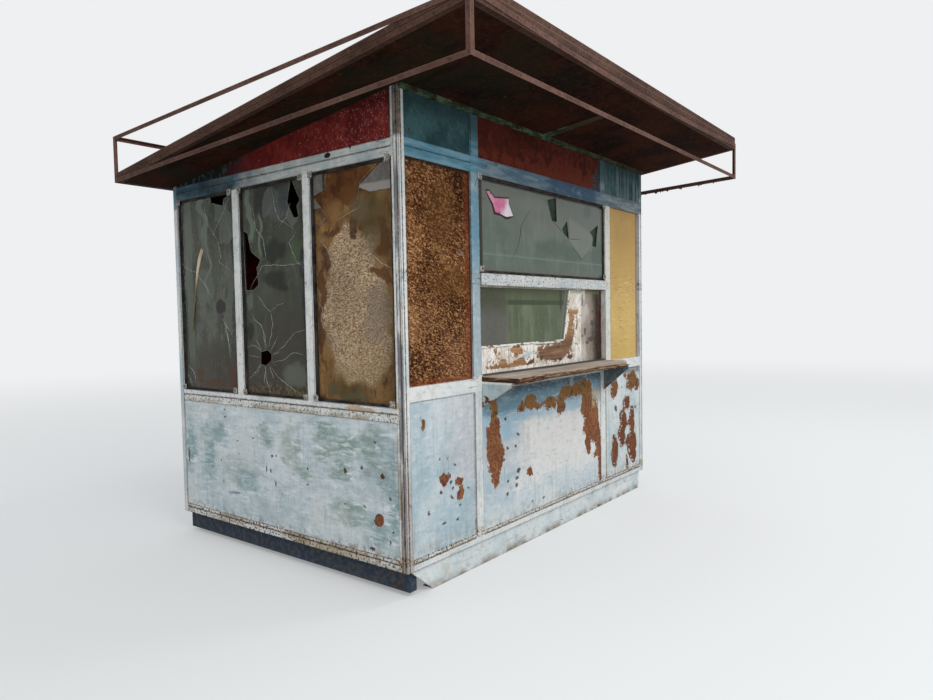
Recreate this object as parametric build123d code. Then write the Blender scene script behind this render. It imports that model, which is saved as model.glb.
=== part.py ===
from build123d import *
import os

os.makedirs("parts", exist_ok=True)

# Street kiosk: a panelled steel cabin on two skids, with a serving hatch and
# counter shelf in its front wall, glazed side walls, and a single-pitch roof
# that overhangs the front and carries a bare sign frame of steel angle.
# Millimetres, Z up. x runs along the front from the left corner, y runs from
# the front wall to the back wall, z runs up from the ground.

# Body
WIDTH = 3000.0
DEPTH = 2170.0
SKID_H = 145.0
WALL_T = 40.0
LINING = 4.0

# Frame: bar widths, and how far panels, glass and grooves lie behind its face
POST = 42.0
POST_R = 50.0
POST_LEAF = 17.0
REAR_LEAF = 4.0
FRAME_IN = 6.0
WIDE_IN = 3.0
FRIEZE_IN = 4.0
RED_IN = 10.0
BOARD_IN = 10.0
BOARD_T = 18.0
PLY_IN = 8.0
PLY_T = 12.0
GROOVE = 5.0
GROOVE_DEEP = 5.0
CORNER_LINE = 16.0
MULLION_LINE = 8.0
BASE_LINE = 22.0
SILL_LINE = 47.0
HEAD_LINE = 50.0

# Heights above the ground
BASE_RAIL = 60.0
Z_BASE = SKID_H
Z_PANEL = Z_BASE + BASE_RAIL
Z_SIDE_RAIL = 943.0
Z_SIDE_SILL = 1022.0
Z_FRONT_RAIL = 1050.0
Z_FRONT_SILL = 1133.0
Z_COUNTER = 1150.0
Z_MID_RAIL = 1685.0
Z_WINDOW = 1758.0
Z_HEAD = 2340.0
Z_FRIEZE = 2433.0

# Roof: its underside's height over the front and the back wall, its overhangs
# past the walls, and its edge of two strips with a groove between them
ROOF_Z_FRONT = 2697.0
ROOF_Z_BACK = 2441.0
ROOF_FRONT = 750.0
ROOF_BACK = 80.0
ROOF_LEFT = 366.0
ROOF_RIGHT = 111.0
EDGE_LOW = 26.0
EDGE_GAP = 4.0
EDGE_HIGH = 31.0
EDGE_W = 32.0
EDGE_GROOVE = 6.0
SOFFIT_T = 3.0
SHEET_T = 1.5
SEAM_X = 1415.0
SHEET_GAP = 4.0
LIP_H = 32.0
LIP_T = 3.0
LIP_FOOT = 40.0
BATTEN = 24.0
BATTEN_T = 20.0
COVER_W = 80.0
COVER_T = 5.0
COVER_LONG = 430.0

# Sign frame: its angle, the heights of its rails, and how far one of them sags
ANGLE = 25.0
ANGLE_T = 4.0
RAIL_LOW_FRONT = 2556.0
RAIL_LOW_BACK = 2434.0
RAIL_HIGH_FRONT = 2808.0
RAIL_HIGH_BACK = 2712.0
RAIL_SAG = 28.0
RAIL_SAG_SHARE = 0.75

# Front wall bays, as x of their sides
BAY_L = 601.0
OPEN_L = 680.0
OPEN_R = 2315.0
BAY_R = 2401.0
MULLION_R = 94.0
FRIEZE_POST = 75.0
PLY_GAP = 44.0
PLY_R = WIDTH - POST_R - PLY_GAP

# Side wall bays, as y of their sides
SIDE_POST = WALL_T + POST_LEAF
SIDE_B0 = 710.0
SIDE_B1 = 774.0
SIDE_A0 = 1404.0
SIDE_A1 = 1473.0
SIDE_END = DEPTH - WALL_T - REAR_LEAF
BAYS = [(SIDE_POST, SIDE_B0), (SIDE_B1, SIDE_A0), (SIDE_A1, SIDE_END)]

# Windows: dark rebated frames, with the glass in a slot
RING_IN = 8.0
RING_T = 26.0
REBATE = 16.0
GLASS_IN = 18.0
GLASS_T = 5.0
GLASS_BITE = 6.0

# Counter shelf and its brackets
SHELF_DEEP = 262.0
SHELF_T = 30.0
SHELF_TOP = 1140.0
SHELF_SHORT = 5.0
BROKEN_X = 190.0
BROKEN_Y = 112.0
BRACKET_T = 5.0
BRACKET_W = 32.0
BRACKET_TIP = 28.0
BRACKET_L_DROP = 159.0
BRACKET_L_REACH = 216.0
BRACKET_R_DROP = 200.0
BRACKET_R_REACH = 204.0

# Serving hatch: sash, the glass set in it, and the plain board beside it. The
# sash's right stile is wider at its foot, so the glass has a slanted side.
SASH_IN = 24.0
SASH_T = 14.0
SASH_R = 1960.0
SASH_STILE = 20.0
SASH_FOOT = 165.0
SASH_TOP = 10.0
STILE_R_LOW = 262.0
STILE_R_HIGH = 181.0
SASH_SLOT = 4.0
HATCH_GAP = 52.0

# Back wall: posts and a plain door
BACK_POST = 60.0
BACK_MID = 820.0
DOOR_L = 1690.0
DOOR_R = 2500.0
DOOR_HEAD = 2280.0
DOOR_GAP = 3.0
DOOR_IN = 4.0
DOOR_STILE = 90.0
DOOR_FIELD = 4.0

# Skids and cross members
SKID_W = 70.0
SKID_WEB = 7.0
FLANGE_ROOT = 9.0
FLANGE_TOE = 6.0
ROOT_R = 7.0
SKID_INSET = 12.0
SKID_END_L = 30.0
SKID_SLANT_L = 180.0
SKID_END_R = 56.0
SKID_SLANT_R = 27.0
CROSS_H = 118.0
CROSS_W = 55.0
CROSS_WALL = 5.0
CROSS_END = 38.0

# Floor
FLOOR_T = 32.0
BOARDS = 15
BOARD_GAP = 3.0

ROOF_SLOPE = (ROOF_Z_FRONT - ROOF_Z_BACK) / DEPTH
ROOF_T = EDGE_LOW + EDGE_GAP + EDGE_HIGH
FX0 = -ROOF_LEFT
FX1 = WIDTH + ROOF_RIGHT
FY0 = -ROOF_FRONT
FY1 = DEPTH + ROOF_BACK
X_MID = (FX0 + FX1) / 2
Y_MID = (FY0 + FY1) / 2


def block(x0, x1, y0, y1, z0, z1):
    return Pos((x0 + x1) / 2, (y0 + y1) / 2, (z0 + z1) / 2) * Box(x1 - x0, y1 - y0, z1 - z0)


def plate_xz(points, y0, y1):
    # A flat outline in the plane of the front wall, from depth y0 to depth y1
    face = make_face(Polyline(*[(x, 0, z) for x, z in points], close=True))
    return Pos(0, y0, 0) * extrude(face, amount=y1 - y0, dir=(0, 1, 0))


def plate_yz(points, x0, x1):
    # A flat outline in the plane of a side wall, from x0 to x1
    face = make_face(Polyline(*[(0, y, z) for y, z in points], close=True))
    return Pos(x0, 0, 0) * extrude(face, amount=x1 - x0, dir=(1, 0, 0))


def mirrored(piece):
    # The same piece on the right side wall
    return Pos(WIDTH, 0, 0) * mirror(piece, about=Plane.YZ)


def save(name, *pieces):
    # One node, moved so that the roof's outline is centred on the origin
    moved = [Pos(-X_MID, -Y_MID, 0) * piece for piece in pieces]
    solids = []
    for piece in moved:
        solids.extend(piece.solids())
    whole = solids[0] if len(solids) == 1 else Compound(children=solids)
    whole.label = name
    export_step(whole, f"parts/{name}.step")


def roof_face(y):
    return ROOF_Z_FRONT - ROOF_SLOPE * y


def slab(x0, x1, y0, y1, low, high):
    # A layer of the roof between two heights above its underside
    outline = [
        (y0, roof_face(y0) + low),
        (y1, roof_face(y1) + low),
        (y1, roof_face(y1) + high),
        (y0, roof_face(y0) + high),
    ]
    return plate_yz(outline, x0, x1)


# All the space below the roof's underside, which cuts the wall tops to the slope
UNDER = plate_yz([(FY0, 0), (FY1, 0), (FY1, roof_face(FY1)), (FY0, roof_face(FY0))], FX0, FX1)
Z_TOP = roof_face(FY0)


def skid(y_back, facing):
    # A rolled channel lying along the wall, with tapered flanges and slanted ends
    section = [
        (0, 0),
        (SKID_W, 0),
        (SKID_W, FLANGE_TOE),
        (SKID_WEB, FLANGE_ROOT),
        (SKID_WEB, SKID_H - FLANGE_ROOT),
        (SKID_W, SKID_H - FLANGE_TOE),
        (SKID_W, SKID_H),
        (0, SKID_H),
    ]
    bar = plate_yz([(y_back + facing * y, z) for y, z in section], 0, WIDTH)
    roots = [
        edge
        for edge in bar.edges().filter_by(Axis.X)
        if abs(edge.center().Y - (y_back + facing * SKID_WEB)) < 1
        and FLANGE_TOE < edge.center().Z < SKID_H - FLANGE_TOE
    ]
    bar = fillet(roots, ROOT_R)
    side = [
        (SKID_END_L, SKID_H),
        (SKID_END_L + SKID_SLANT_L, 0),
        (WIDTH - SKID_END_R - SKID_SLANT_R, 0),
        (WIDTH - SKID_END_R, SKID_H),
    ]
    return bar & plate_xz(side, 0, DEPTH)


save("skids", skid(SKID_INSET, 1), skid(DEPTH - SKID_INSET, -1))

# Cross members: box tubes under the side walls and the middle, with their ends
# notched to sit inside the channels
flange_deep = FLANGE_ROOT + ROOT_R
reach_0 = SKID_INSET + SKID_WEB + ROOT_R
reach_1 = DEPTH - reach_0
toe_0 = SKID_INSET + SKID_W
toe_1 = DEPTH - toe_0
z_cross = SKID_H - CROSS_H
crosses = []
for cx in (CROSS_END, (WIDTH - CROSS_W) / 2, WIDTH - CROSS_END - CROSS_W):
    tube = block(cx, cx + CROSS_W, toe_0, toe_1, z_cross, SKID_H)
    tube = tube - block(cx + CROSS_WALL, cx + CROSS_W - CROSS_WALL, toe_0, toe_1, z_cross + CROSS_WALL, SKID_H - CROSS_WALL)
    for y0, y1 in ((reach_0, toe_0), (toe_1, reach_1)):
        tube = tube + block(cx, cx + CROSS_W, y0, y1, max(z_cross, flange_deep), SKID_H - flange_deep)
    crosses.append(tube)
save("cross_members", *crosses)

# Floor boards, with narrow gaps, laid inside the walls on the base frame
board = (DEPTH - 2 * WALL_T) / BOARDS
floor = []
for i in range(BOARDS):
    y0 = WALL_T + i * board
    floor.append(
        block(WALL_T, WIDTH - WALL_T, y0 + BOARD_GAP / 2, y0 + board - BOARD_GAP / 2, Z_BASE, Z_BASE + FLOOR_T)
    )
save("floor_boards", *floor)


def front_bars(bars, y0=0.0, y1=WALL_T):
    # Bars given as (x0, x1, z0, z1), fused into one frame
    whole = None
    for x0, x1, z0, z1 in bars:
        piece = block(x0, x1, y0, y1, z0, z1)
        whole = piece if whole is None else whole + piece
    return whole


def side_bars(bars, x0=0.0, x1=WALL_T):
    # The same for a side wall, as (y0, y1, z0, z1)
    whole = None
    for y0, y1, z0, z1 in bars:
        piece = block(x0, x1, y0, y1, z0, z1)
        whole = piece if whole is None else whole + piece
    return whole


def line_at(place):
    # The two sides of a groove that has its middle at this place
    return place - GROOVE / 2, place + GROOVE / 2


# Front wall frame
front = front_bars(
    [
        (0, POST, Z_BASE, Z_TOP),
        (WIDTH - POST_R, WIDTH, Z_BASE, Z_TOP),
        (BAY_L, OPEN_L, Z_BASE, Z_TOP),
        (OPEN_R, BAY_R, Z_FRONT_RAIL, Z_FRIEZE),
        (OPEN_R - FRIEZE_POST, OPEN_R, Z_FRIEZE, Z_TOP),
        (OPEN_R - MULLION_R, OPEN_R, Z_BASE, Z_FRONT_RAIL),
        (0, WIDTH, Z_BASE, Z_PANEL),
        (0, WIDTH, Z_FRONT_RAIL, Z_FRONT_SILL),
        (OPEN_L, OPEN_R, Z_FRONT_SILL, Z_COUNTER),
        (OPEN_L, OPEN_R, Z_MID_RAIL, Z_WINDOW),
        (0, WIDTH, Z_HEAD, Z_FRIEZE),
    ]
)
front_lines = [
    (*line_at(CORNER_LINE), Z_BASE, Z_TOP),
    (*line_at(WIDTH - CORNER_LINE), Z_BASE, Z_TOP),
    (*line_at(BAY_L + MULLION_LINE), Z_PANEL, Z_FRONT_RAIL),
    (*line_at(BAY_L + MULLION_LINE), Z_FRIEZE, Z_TOP),
    (*line_at(OPEN_R - MULLION_LINE), Z_PANEL, Z_FRONT_RAIL),
    (POST, BAY_L, *line_at(Z_HEAD + HEAD_LINE)),
    (POST, BAY_L, *line_at(Z_PANEL - BASE_LINE)),
    (OPEN_L, WIDTH - POST_R, *line_at(Z_PANEL - BASE_LINE)),
]
front = front - front_bars(front_lines, 0, GROOVE_DEEP)
for x in (0.0, WIDTH - GROOVE_DEEP):
    front = front - block(x, x + GROOVE_DEEP, *line_at(CORNER_LINE), Z_BASE, Z_TOP)
save("front_frame", front & UNDER)

# Front wall panels, let into the frame
PANEL_BACK = WALL_T - LINING


def front_panel(x0, x1, z0, z1, y0=FRAME_IN, y1=PANEL_BACK):
    return block(x0, x1, y0, y1, z0, z1) & UNDER


save(
    "front_panels_lower",
    front_panel(POST, BAY_L, Z_PANEL, Z_FRONT_RAIL),
    front_panel(OPEN_L, OPEN_R - MULLION_R, Z_PANEL, Z_FRONT_RAIL, WIDE_IN),
    front_panel(OPEN_R, WIDTH - POST_R, Z_PANEL, Z_FRONT_RAIL),
)
save("front_panel_chipboard", front_panel(POST, BAY_L, Z_FRONT_SILL, Z_HEAD, BOARD_IN, BOARD_IN + BOARD_T))
save("front_panel_plywood", front_panel(BAY_R, PLY_R, Z_FRONT_SILL, Z_HEAD, PLY_IN, PLY_IN + PLY_T))
save(
    "front_frieze_ends",
    front_panel(POST, BAY_L, Z_FRIEZE, Z_TOP, FRIEZE_IN),
    front_panel(OPEN_R, WIDTH - POST_R, Z_FRIEZE, Z_TOP, FRIEZE_IN),
)
save("front_frieze_middle", front_panel(OPEN_L, OPEN_R - FRIEZE_POST, Z_FRIEZE, Z_TOP, RED_IN))


def window_ring(bars, u0, u1, z0, z1):
    # A rebated frame with a slot for the glass; bars lays it on its wall
    ring = bars([(u0, u1, z0, z1)], RING_IN, RING_IN + RING_T)
    ring = ring - bars([(u0 + REBATE, u1 - REBATE, z0 + REBATE, z1 - REBATE)], RING_IN, RING_IN + RING_T)
    return ring - window_glass(bars, u0, u1, z0, z1)


def window_glass(bars, u0, u1, z0, z1):
    inside = (u0 + GLASS_BITE, u1 - GLASS_BITE, z0 + GLASS_BITE, z1 - GLASS_BITE)
    return bars([inside], GLASS_IN, GLASS_IN + GLASS_T)


# Upper window of the front wall. What is broken out of a pane is an outline
# from the window's lower corner.
FRONT_BREAKS = [
    [(805, 525), (926, 554), (936, 389), (868, 389)],
    [(1004, 346), (1076, 409), (1103, 283), (1032, 313)],
    [(1424, 360), (1555, 425), (1519, 254), (1454, 257), (1471, 319)],
]
save("front_window_frame", window_ring(front_bars, OPEN_L, OPEN_R, Z_WINDOW, Z_HEAD))
pane = window_glass(front_bars, OPEN_L, OPEN_R, Z_WINDOW, Z_HEAD)
for outline in FRONT_BREAKS:
    pane = pane - plate_xz([(OPEN_L + x, Z_WINDOW + z) for x, z in outline], 0, WALL_T)
save("front_window_pane", pane)

# Serving hatch: wooden sash with glass on the left and a plain board on the right
z_light = Z_COUNTER + SASH_FOOT
light = [
    (OPEN_L + SASH_STILE, z_light),
    (SASH_R - STILE_R_LOW, z_light),
    (SASH_R - STILE_R_HIGH, Z_MID_RAIL - SASH_TOP),
    (OPEN_L + SASH_STILE, Z_MID_RAIL - SASH_TOP),
]
hatch_face = make_face(Polyline(*[(x, 0, z) for x, z in light], close=True))
hatch_glass = Pos(0, SASH_IN + SASH_SLOT, 0) * extrude(
    offset(hatch_face, amount=GLASS_BITE, kind=Kind.INTERSECTION), amount=SASH_SLOT, dir=(0, 1, 0)
)
sash = block(OPEN_L, SASH_R, SASH_IN, SASH_IN + SASH_T, Z_COUNTER, Z_MID_RAIL)
sash = sash - plate_xz(light, SASH_IN, SASH_IN + SASH_T) - hatch_glass
save("hatch_sash", sash)
save("hatch_pane", hatch_glass)
save(
    "hatch_board",
    block(SASH_R + WIDE_IN, OPEN_R - HATCH_GAP, SASH_IN + WIDE_IN, SASH_IN + SASH_T, Z_COUNTER, Z_MID_RAIL),
)

# Counter shelf with its right corner broken off, on two gusset brackets
shelf_r = OPEN_R - SHELF_SHORT
z_shelf = SHELF_TOP - SHELF_T
shelf_edge = [
    Line((OPEN_L, 0), (shelf_r, 0)),
    Line((shelf_r, 0), (shelf_r, -SHELF_DEEP + BROKEN_Y)),
    Spline(
        (shelf_r, -SHELF_DEEP + BROKEN_Y),
        (shelf_r - 0.30 * BROKEN_X, -SHELF_DEEP + 0.55 * BROKEN_Y),
        (shelf_r - 0.62 * BROKEN_X, -SHELF_DEEP + 0.40 * BROKEN_Y),
        (shelf_r - BROKEN_X, -SHELF_DEEP),
    ),
    Line((shelf_r - BROKEN_X, -SHELF_DEEP), (OPEN_L, -SHELF_DEEP)),
    Line((OPEN_L, -SHELF_DEEP), (OPEN_L, 0)),
]
save("counter_shelf", Pos(0, 0, z_shelf) * extrude(make_face(shelf_edge), amount=SHELF_T, dir=(0, 0, 1)))


def bracket(x, drop, reach):
    # An upright gusset with a flat arm along its top, under the shelf
    gusset = [(0, z_shelf), (0, z_shelf - drop), (-reach, z_shelf - BRACKET_TIP), (-reach, z_shelf)]
    arm = block(x, x + BRACKET_W, -reach, 0, z_shelf - BRACKET_T, z_shelf)
    return plate_yz(gusset, x, x + BRACKET_T) + arm


save(
    "counter_brackets",
    bracket(OPEN_L, BRACKET_L_DROP, BRACKET_L_REACH),
    bracket(shelf_r - BRACKET_W, BRACKET_R_DROP, BRACKET_R_REACH),
)

# Side walls, which lie between the front and the back wall
side_y1 = DEPTH - WALL_T
side_top = roof_face(0)
side = side_bars(
    [
        (WALL_T, SIDE_POST, Z_BASE, side_top),
        (SIDE_END, side_y1, Z_BASE, side_top),
        (SIDE_B0, SIDE_B1, Z_SIDE_RAIL, Z_FRIEZE),
        (SIDE_A0, SIDE_A1, Z_SIDE_RAIL, Z_FRIEZE),
        (WALL_T, side_y1, Z_BASE, Z_PANEL),
        (WALL_T, side_y1, Z_SIDE_RAIL, Z_SIDE_SILL),
        (WALL_T, side_y1, Z_HEAD, Z_FRIEZE),
    ]
)
side_lines = [
    (SIDE_POST, SIDE_END, *line_at(Z_SIDE_RAIL + SILL_LINE)),
    (SIDE_POST, SIDE_END, *line_at(Z_HEAD + HEAD_LINE)),
    (SIDE_POST, SIDE_END, *line_at(Z_PANEL - BASE_LINE)),
]
side = (side - side_bars(side_lines, 0, GROOVE_DEEP)) & UNDER
lower = block(WIDE_IN, PANEL_BACK, SIDE_POST, SIDE_END, Z_PANEL, Z_SIDE_RAIL)
frieze = block(PLY_IN, PANEL_BACK, SIDE_POST, SIDE_END, Z_FRIEZE, side_top) & UNDER
rings = [window_ring(side_bars, y0, y1, Z_SIDE_SILL, Z_HEAD) for y0, y1 in BAYS]
sheets = [window_glass(side_bars, y0, y1, Z_SIDE_SILL, Z_HEAD) for y0, y1 in BAYS]
save("left_frame", side)
save("right_frame", mirrored(side))
save("left_panel_lower", lower)
save("right_panel_lower", mirrored(lower))
save("left_frieze", frieze)
save("right_frieze", mirrored(frieze))
save("left_window_frames", *rings)
save("right_window_frames", *[mirrored(ring) for ring in rings])
save("right_window_panes", *[mirrored(sheet) for sheet in sheets])

# What is broken out of the left wall's panes, for each bay from its lower front corner
SIDE_BREAKS = [
    [
        [
            (543, 1320),
            (521, 1218),
            (640, 1186),
            (520, 1050),
            (622, 1003),
            (535, 940),
            (420, 1060),
            (283, 1108),
            (250, 1220),
            (180, 1262),
            (93, 1320),
        ]
    ],
    [
        [(616, 1050), (566, 1028), (533, 909), (437, 853), (481, 805), (466, 698), (520, 669), (602, 668)],
        [(468, 277), (396, 291), (356, 266), (358, 229), (421, 190), (472, 201)],
        [(122, 1320), (44, 1179), (73, 1147), (57, 1081), (104, 1080), (164, 1181)],
    ],
    [[(272, 1320), (265, 1265), (128, 1230), (114, 1274), (68, 1288), (68, 1320)]],
]
broken = []
for (y0, y1), sheet, outlines in zip(BAYS, sheets, SIDE_BREAKS):
    for outline in outlines:
        sheet = sheet - plate_yz([(y0 + y, Z_SIDE_SILL + z) for y, z in outline], 0, WALL_T)
    broken.append(sheet)
save("left_window_panes", *broken)
board_y0, board_y1 = BAYS[0]
save(
    "left_window_board",
    block(
        GLASS_IN + GLASS_T + 2,
        RING_IN + RING_T,
        board_y0 + REBATE,
        board_y1 - REBATE,
        Z_SIDE_SILL + REBATE,
        Z_HEAD - REBATE,
    ),
)

# Back wall: the same rails and friezes, sheeted, with a plain door
back = front_bars(
    [
        (0, POST, Z_BASE, Z_TOP),
        (WIDTH - POST, WIDTH, Z_BASE, Z_TOP),
        (BACK_MID, BACK_MID + BACK_POST, Z_BASE, Z_FRIEZE),
        (DOOR_L - BACK_POST, DOOR_L, Z_BASE, Z_FRIEZE),
        (DOOR_R, DOOR_R + BACK_POST, Z_BASE, Z_FRIEZE),
        (0, WIDTH, Z_BASE, Z_PANEL),
        (0, DOOR_L, Z_FRONT_RAIL, Z_FRONT_SILL),
        (DOOR_R, WIDTH, Z_FRONT_RAIL, Z_FRONT_SILL),
        (0, WIDTH, DOOR_HEAD, Z_TOP),
    ],
    DEPTH - WALL_T,
    DEPTH,
)
back_lines = [
    (*line_at(CORNER_LINE), Z_BASE, Z_TOP),
    (*line_at(WIDTH - CORNER_LINE), Z_BASE, Z_TOP),
    (POST, DOOR_L - BACK_POST, *line_at(Z_PANEL - BASE_LINE)),
    (POST, WIDTH - POST, *line_at(Z_HEAD + HEAD_LINE)),
]
back = back - front_bars(back_lines, DEPTH - GROOVE_DEEP, DEPTH)
save("back_frame", back & UNDER)
back_sheets = []
for x0, x1 in (
    (POST, BACK_MID),
    (BACK_MID + BACK_POST, DOOR_L - BACK_POST),
    (DOOR_R + BACK_POST, WIDTH - POST),
):
    for z0, z1 in ((Z_PANEL, Z_FRONT_RAIL), (Z_FRONT_SILL, DOOR_HEAD)):
        back_sheets.append(block(x0, x1, DEPTH - PANEL_BACK, DEPTH - FRAME_IN, z0, z1))
save("back_panels", *back_sheets)

# Door with two sunk fields, three hinges and a bent pull
door_face = DEPTH - DOOR_IN
z_lock = (Z_FRONT_RAIL + Z_FRONT_SILL) / 2
door = block(
    DOOR_L + DOOR_GAP,
    DOOR_R - DOOR_GAP,
    DEPTH - PANEL_BACK,
    door_face,
    Z_PANEL + DOOR_GAP,
    DOOR_HEAD - DOOR_GAP,
)
for z0, z1 in ((Z_PANEL + DOOR_STILE, z_lock - DOOR_STILE / 2), (z_lock + DOOR_STILE / 2, DOOR_HEAD - DOOR_STILE)):
    door = door - block(DOOR_L + DOOR_STILE, DOOR_R - DOOR_STILE, door_face - DOOR_FIELD, door_face, z0, z1)
save("back_door", door)
HINGE_H = 90.0
HINGE_LEAF = 34.0
HINGE_R = 7.0
hinges = []
for z in (Z_PANEL + 2 * HINGE_H, z_lock + HINGE_H, DOOR_HEAD - 3 * HINGE_H):
    leaf = block(DOOR_L, DOOR_L + HINGE_LEAF, door_face, DEPTH, z, z + HINGE_H)
    knuckle = Pos(DOOR_L, DEPTH + HINGE_R - 1, z + HINGE_H / 2) * Cylinder(HINGE_R, HINGE_H)
    knuckle = knuckle - block(DOOR_L - HINGE_R, DOOR_L + HINGE_R, DEPTH - HINGE_R, DEPTH, z, z + HINGE_H)
    hinges.append(leaf + knuckle)
save("door_hinges", *hinges)
PULL_R = 6.0
PULL_OUT = 34.0
PULL_H = 120.0
PULL_BEND = 12.0
PLATE_W = 30.0
pull_x = DOOR_R - DOOR_STILE + PLATE_W
pull_z = z_lock + HINGE_H
pull_plate = block(
    pull_x - PLATE_W / 2,
    pull_x + PLATE_W / 2,
    door_face,
    DEPTH,
    pull_z - PLATE_W,
    pull_z + PULL_H + PLATE_W,
)
pull_path = FilletPolyline(
    (pull_x, DEPTH, pull_z),
    (pull_x, DEPTH + PULL_OUT, pull_z),
    (pull_x, DEPTH + PULL_OUT, pull_z + PULL_H),
    (pull_x, DEPTH, pull_z + PULL_H),
    radius=PULL_BEND,
)
pull = sweep(Plane(origin=(pull_x, DEPTH, pull_z), z_dir=(0, 1, 0)) * Circle(PULL_R), path=pull_path)
save("door_handle", pull_plate + pull)


# Hardboard lining inside the walls, standing on the floor
def lining_sheet(x0, x1, y0, y1, holes):
    sheet = block(x0, x1, y0, y1, Z_BASE + FLOOR_T, Z_TOP) & UNDER
    for hole in holes:
        sheet = sheet - block(*hole)
    return sheet


inner = WALL_T + LINING
front_holes = [
    (OPEN_L, OPEN_R, WALL_T, inner, Z_COUNTER, Z_MID_RAIL),
    (OPEN_L, OPEN_R, WALL_T, inner, Z_WINDOW, Z_HEAD),
]
back_holes = [(DOOR_L, DOOR_R, DEPTH - inner, DEPTH - WALL_T, Z_BASE, DOOR_HEAD)]
side_holes = [(WALL_T, inner, y0, y1, Z_SIDE_SILL, Z_HEAD) for y0, y1 in BAYS]
side_lining = lining_sheet(WALL_T, inner, inner, DEPTH - inner, side_holes)
save(
    "lining_ends",
    lining_sheet(WALL_T, WIDTH - WALL_T, WALL_T, inner, front_holes),
    lining_sheet(WALL_T, WIDTH - WALL_T, DEPTH - inner, DEPTH - WALL_T, back_holes),
)
save("lining_sides", side_lining, mirrored(side_lining))

# Roof: soffit sheets, core, two edge strips with a groove between, top sheet
RX0 = FX0 + ANGLE_T
RX1 = FX1 - ANGLE_T
RY0 = FY0 + ANGLE_T
RY1 = FY1 - ANGLE_T


def within(inset, low, high):
    # A roof layer that stays this far inside the roof's edge
    return slab(RX0 + inset, RX1 - inset, RY0 + inset, RY1 - inset, low, high)


save("roof_edge_lower", within(0, 0, EDGE_LOW) - within(EDGE_W, 0, EDGE_LOW))
save(
    "roof_edge_upper",
    within(0, EDGE_LOW + EDGE_GAP, ROOF_T - SHEET_T) - within(EDGE_W, EDGE_LOW + EDGE_GAP, ROOF_T - SHEET_T),
)
save(
    "roof_soffit_sheets",
    slab(RX0 + EDGE_W, SEAM_X - SHEET_GAP / 2, RY0 + EDGE_W, RY1 - EDGE_W, 0, SOFFIT_T),
    slab(SEAM_X + SHEET_GAP / 2, RX1 - EDGE_W, RY0 + EDGE_W, RY1 - EDGE_W, 0, SOFFIT_T),
)
core = within(EDGE_W, SOFFIT_T, ROOF_T - SHEET_T) + within(EDGE_GROOVE, EDGE_LOW, EDGE_LOW + EDGE_GAP)
save("roof_core", core)
save("roof_sheet", within(0, ROOF_T - SHEET_T, ROOF_T))
lip = slab(RX0, RX1, RY0, RY0 + LIP_T, ROOF_T, ROOF_T + LIP_H)
lip = lip + slab(RX0, RX1, RY0, RY0 + LIP_FOOT, ROOF_T, ROOF_T + LIP_T)
save("roof_front_lip", lip)

# Sign frame: angle rails between four corner posts of the same angle, with their
# flat legs on top. Where a rail lies along the roof its flat leg is cut away.
ROOF_SPACE = within(0, 0, ROOF_T + LIP_H)
ELL = [(0, 0), (ANGLE, 0), (ANGLE, ANGLE_T), (ANGLE_T, ANGLE_T), (ANGLE_T, ANGLE), (0, ANGLE)]


def side_rail(x_face, inward, z_front, z_back):
    # Falls along the side wall, from the front post to the back post
    slope = (z_back - z_front) / (FY1 - FY0)
    run = FY1 - FY0 - 2 * ANGLE
    points = [(x_face + inward * u, 0, z_front + slope * ANGLE + ANGLE - v) for u, v in ELL]
    face = make_face(Polyline(*points, close=True))
    along = Vector(0, run, slope * run)
    rail = Pos(0, FY0 + ANGLE, 0) * extrude(face, amount=along.length, dir=along)
    return rail - ROOF_SPACE


def cross_rail(y_face, inward, z):
    # Level, between two posts
    outline = [(y_face + inward * u, z + ANGLE - v) for u, v in ELL]
    return plate_yz(outline, FX0 + ANGLE, FX1 - ANGLE) - ROOF_SPACE


def sagging_rail(y_face, z):
    # The upright leg alone, which hangs low towards its right end
    x0 = FX0 + ANGLE
    x1 = FX1 - ANGLE
    x_low = x0 + RAIL_SAG_SHARE * (x1 - x0)
    foot = Spline((x0, 0, z), (x_low, 0, z - RAIL_SAG), (x1, 0, z))
    head = Pos(0, 0, ANGLE) * foot
    face = make_face([foot, Line(foot @ 1, head @ 1), head, Line(head @ 0, foot @ 0)])
    return Pos(0, y_face, 0) * extrude(face, amount=ANGLE_T, dir=(0, 1, 0))


posts = []
for x_face, dx in ((FX0, 1), (FX1, -1)):
    for y_face, dy, z0, z1 in (
        (FY0, 1, RAIL_LOW_FRONT, RAIL_HIGH_FRONT + ANGLE),
        (FY1, -1, RAIL_LOW_BACK, RAIL_HIGH_BACK + ANGLE),
    ):
        face = make_face(Polyline(*[(x_face + dx * u, y_face + dy * v, z0) for u, v in ELL], close=True))
        posts.append(extrude(face, amount=z1 - z0, dir=(0, 0, 1)))
save(
    "sign_rails_lower",
    cross_rail(FY0, 1, RAIL_LOW_FRONT),
    cross_rail(FY1, -1, RAIL_LOW_BACK),
    side_rail(FX0, 1, RAIL_LOW_FRONT, RAIL_LOW_BACK),
    side_rail(FX1, -1, RAIL_LOW_FRONT, RAIL_LOW_BACK),
)
save(
    "sign_rails_upper",
    sagging_rail(FY0, RAIL_HIGH_FRONT),
    cross_rail(FY1, -1, RAIL_HIGH_BACK),
    side_rail(FX0, 1, RAIL_HIGH_FRONT, RAIL_HIGH_BACK),
    side_rail(FX1, -1, RAIL_HIGH_FRONT, RAIL_HIGH_BACK),
)
save("sign_posts", *posts)

# Soffit trim: a batten along the front wall and a cover strip over the seam
save("soffit_batten", slab(FRAME_IN, WIDTH - FRAME_IN, -BATTEN_T, 0, -BATTEN, 0))
save("soffit_cover_strip", slab(SEAM_X - COVER_W / 2, SEAM_X + COVER_W / 2, -COVER_LONG, -BATTEN_T, -COVER_T, 0))
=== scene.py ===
import bpy
import bmesh
import math
import random
from mathutils import Matrix, Vector


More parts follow.
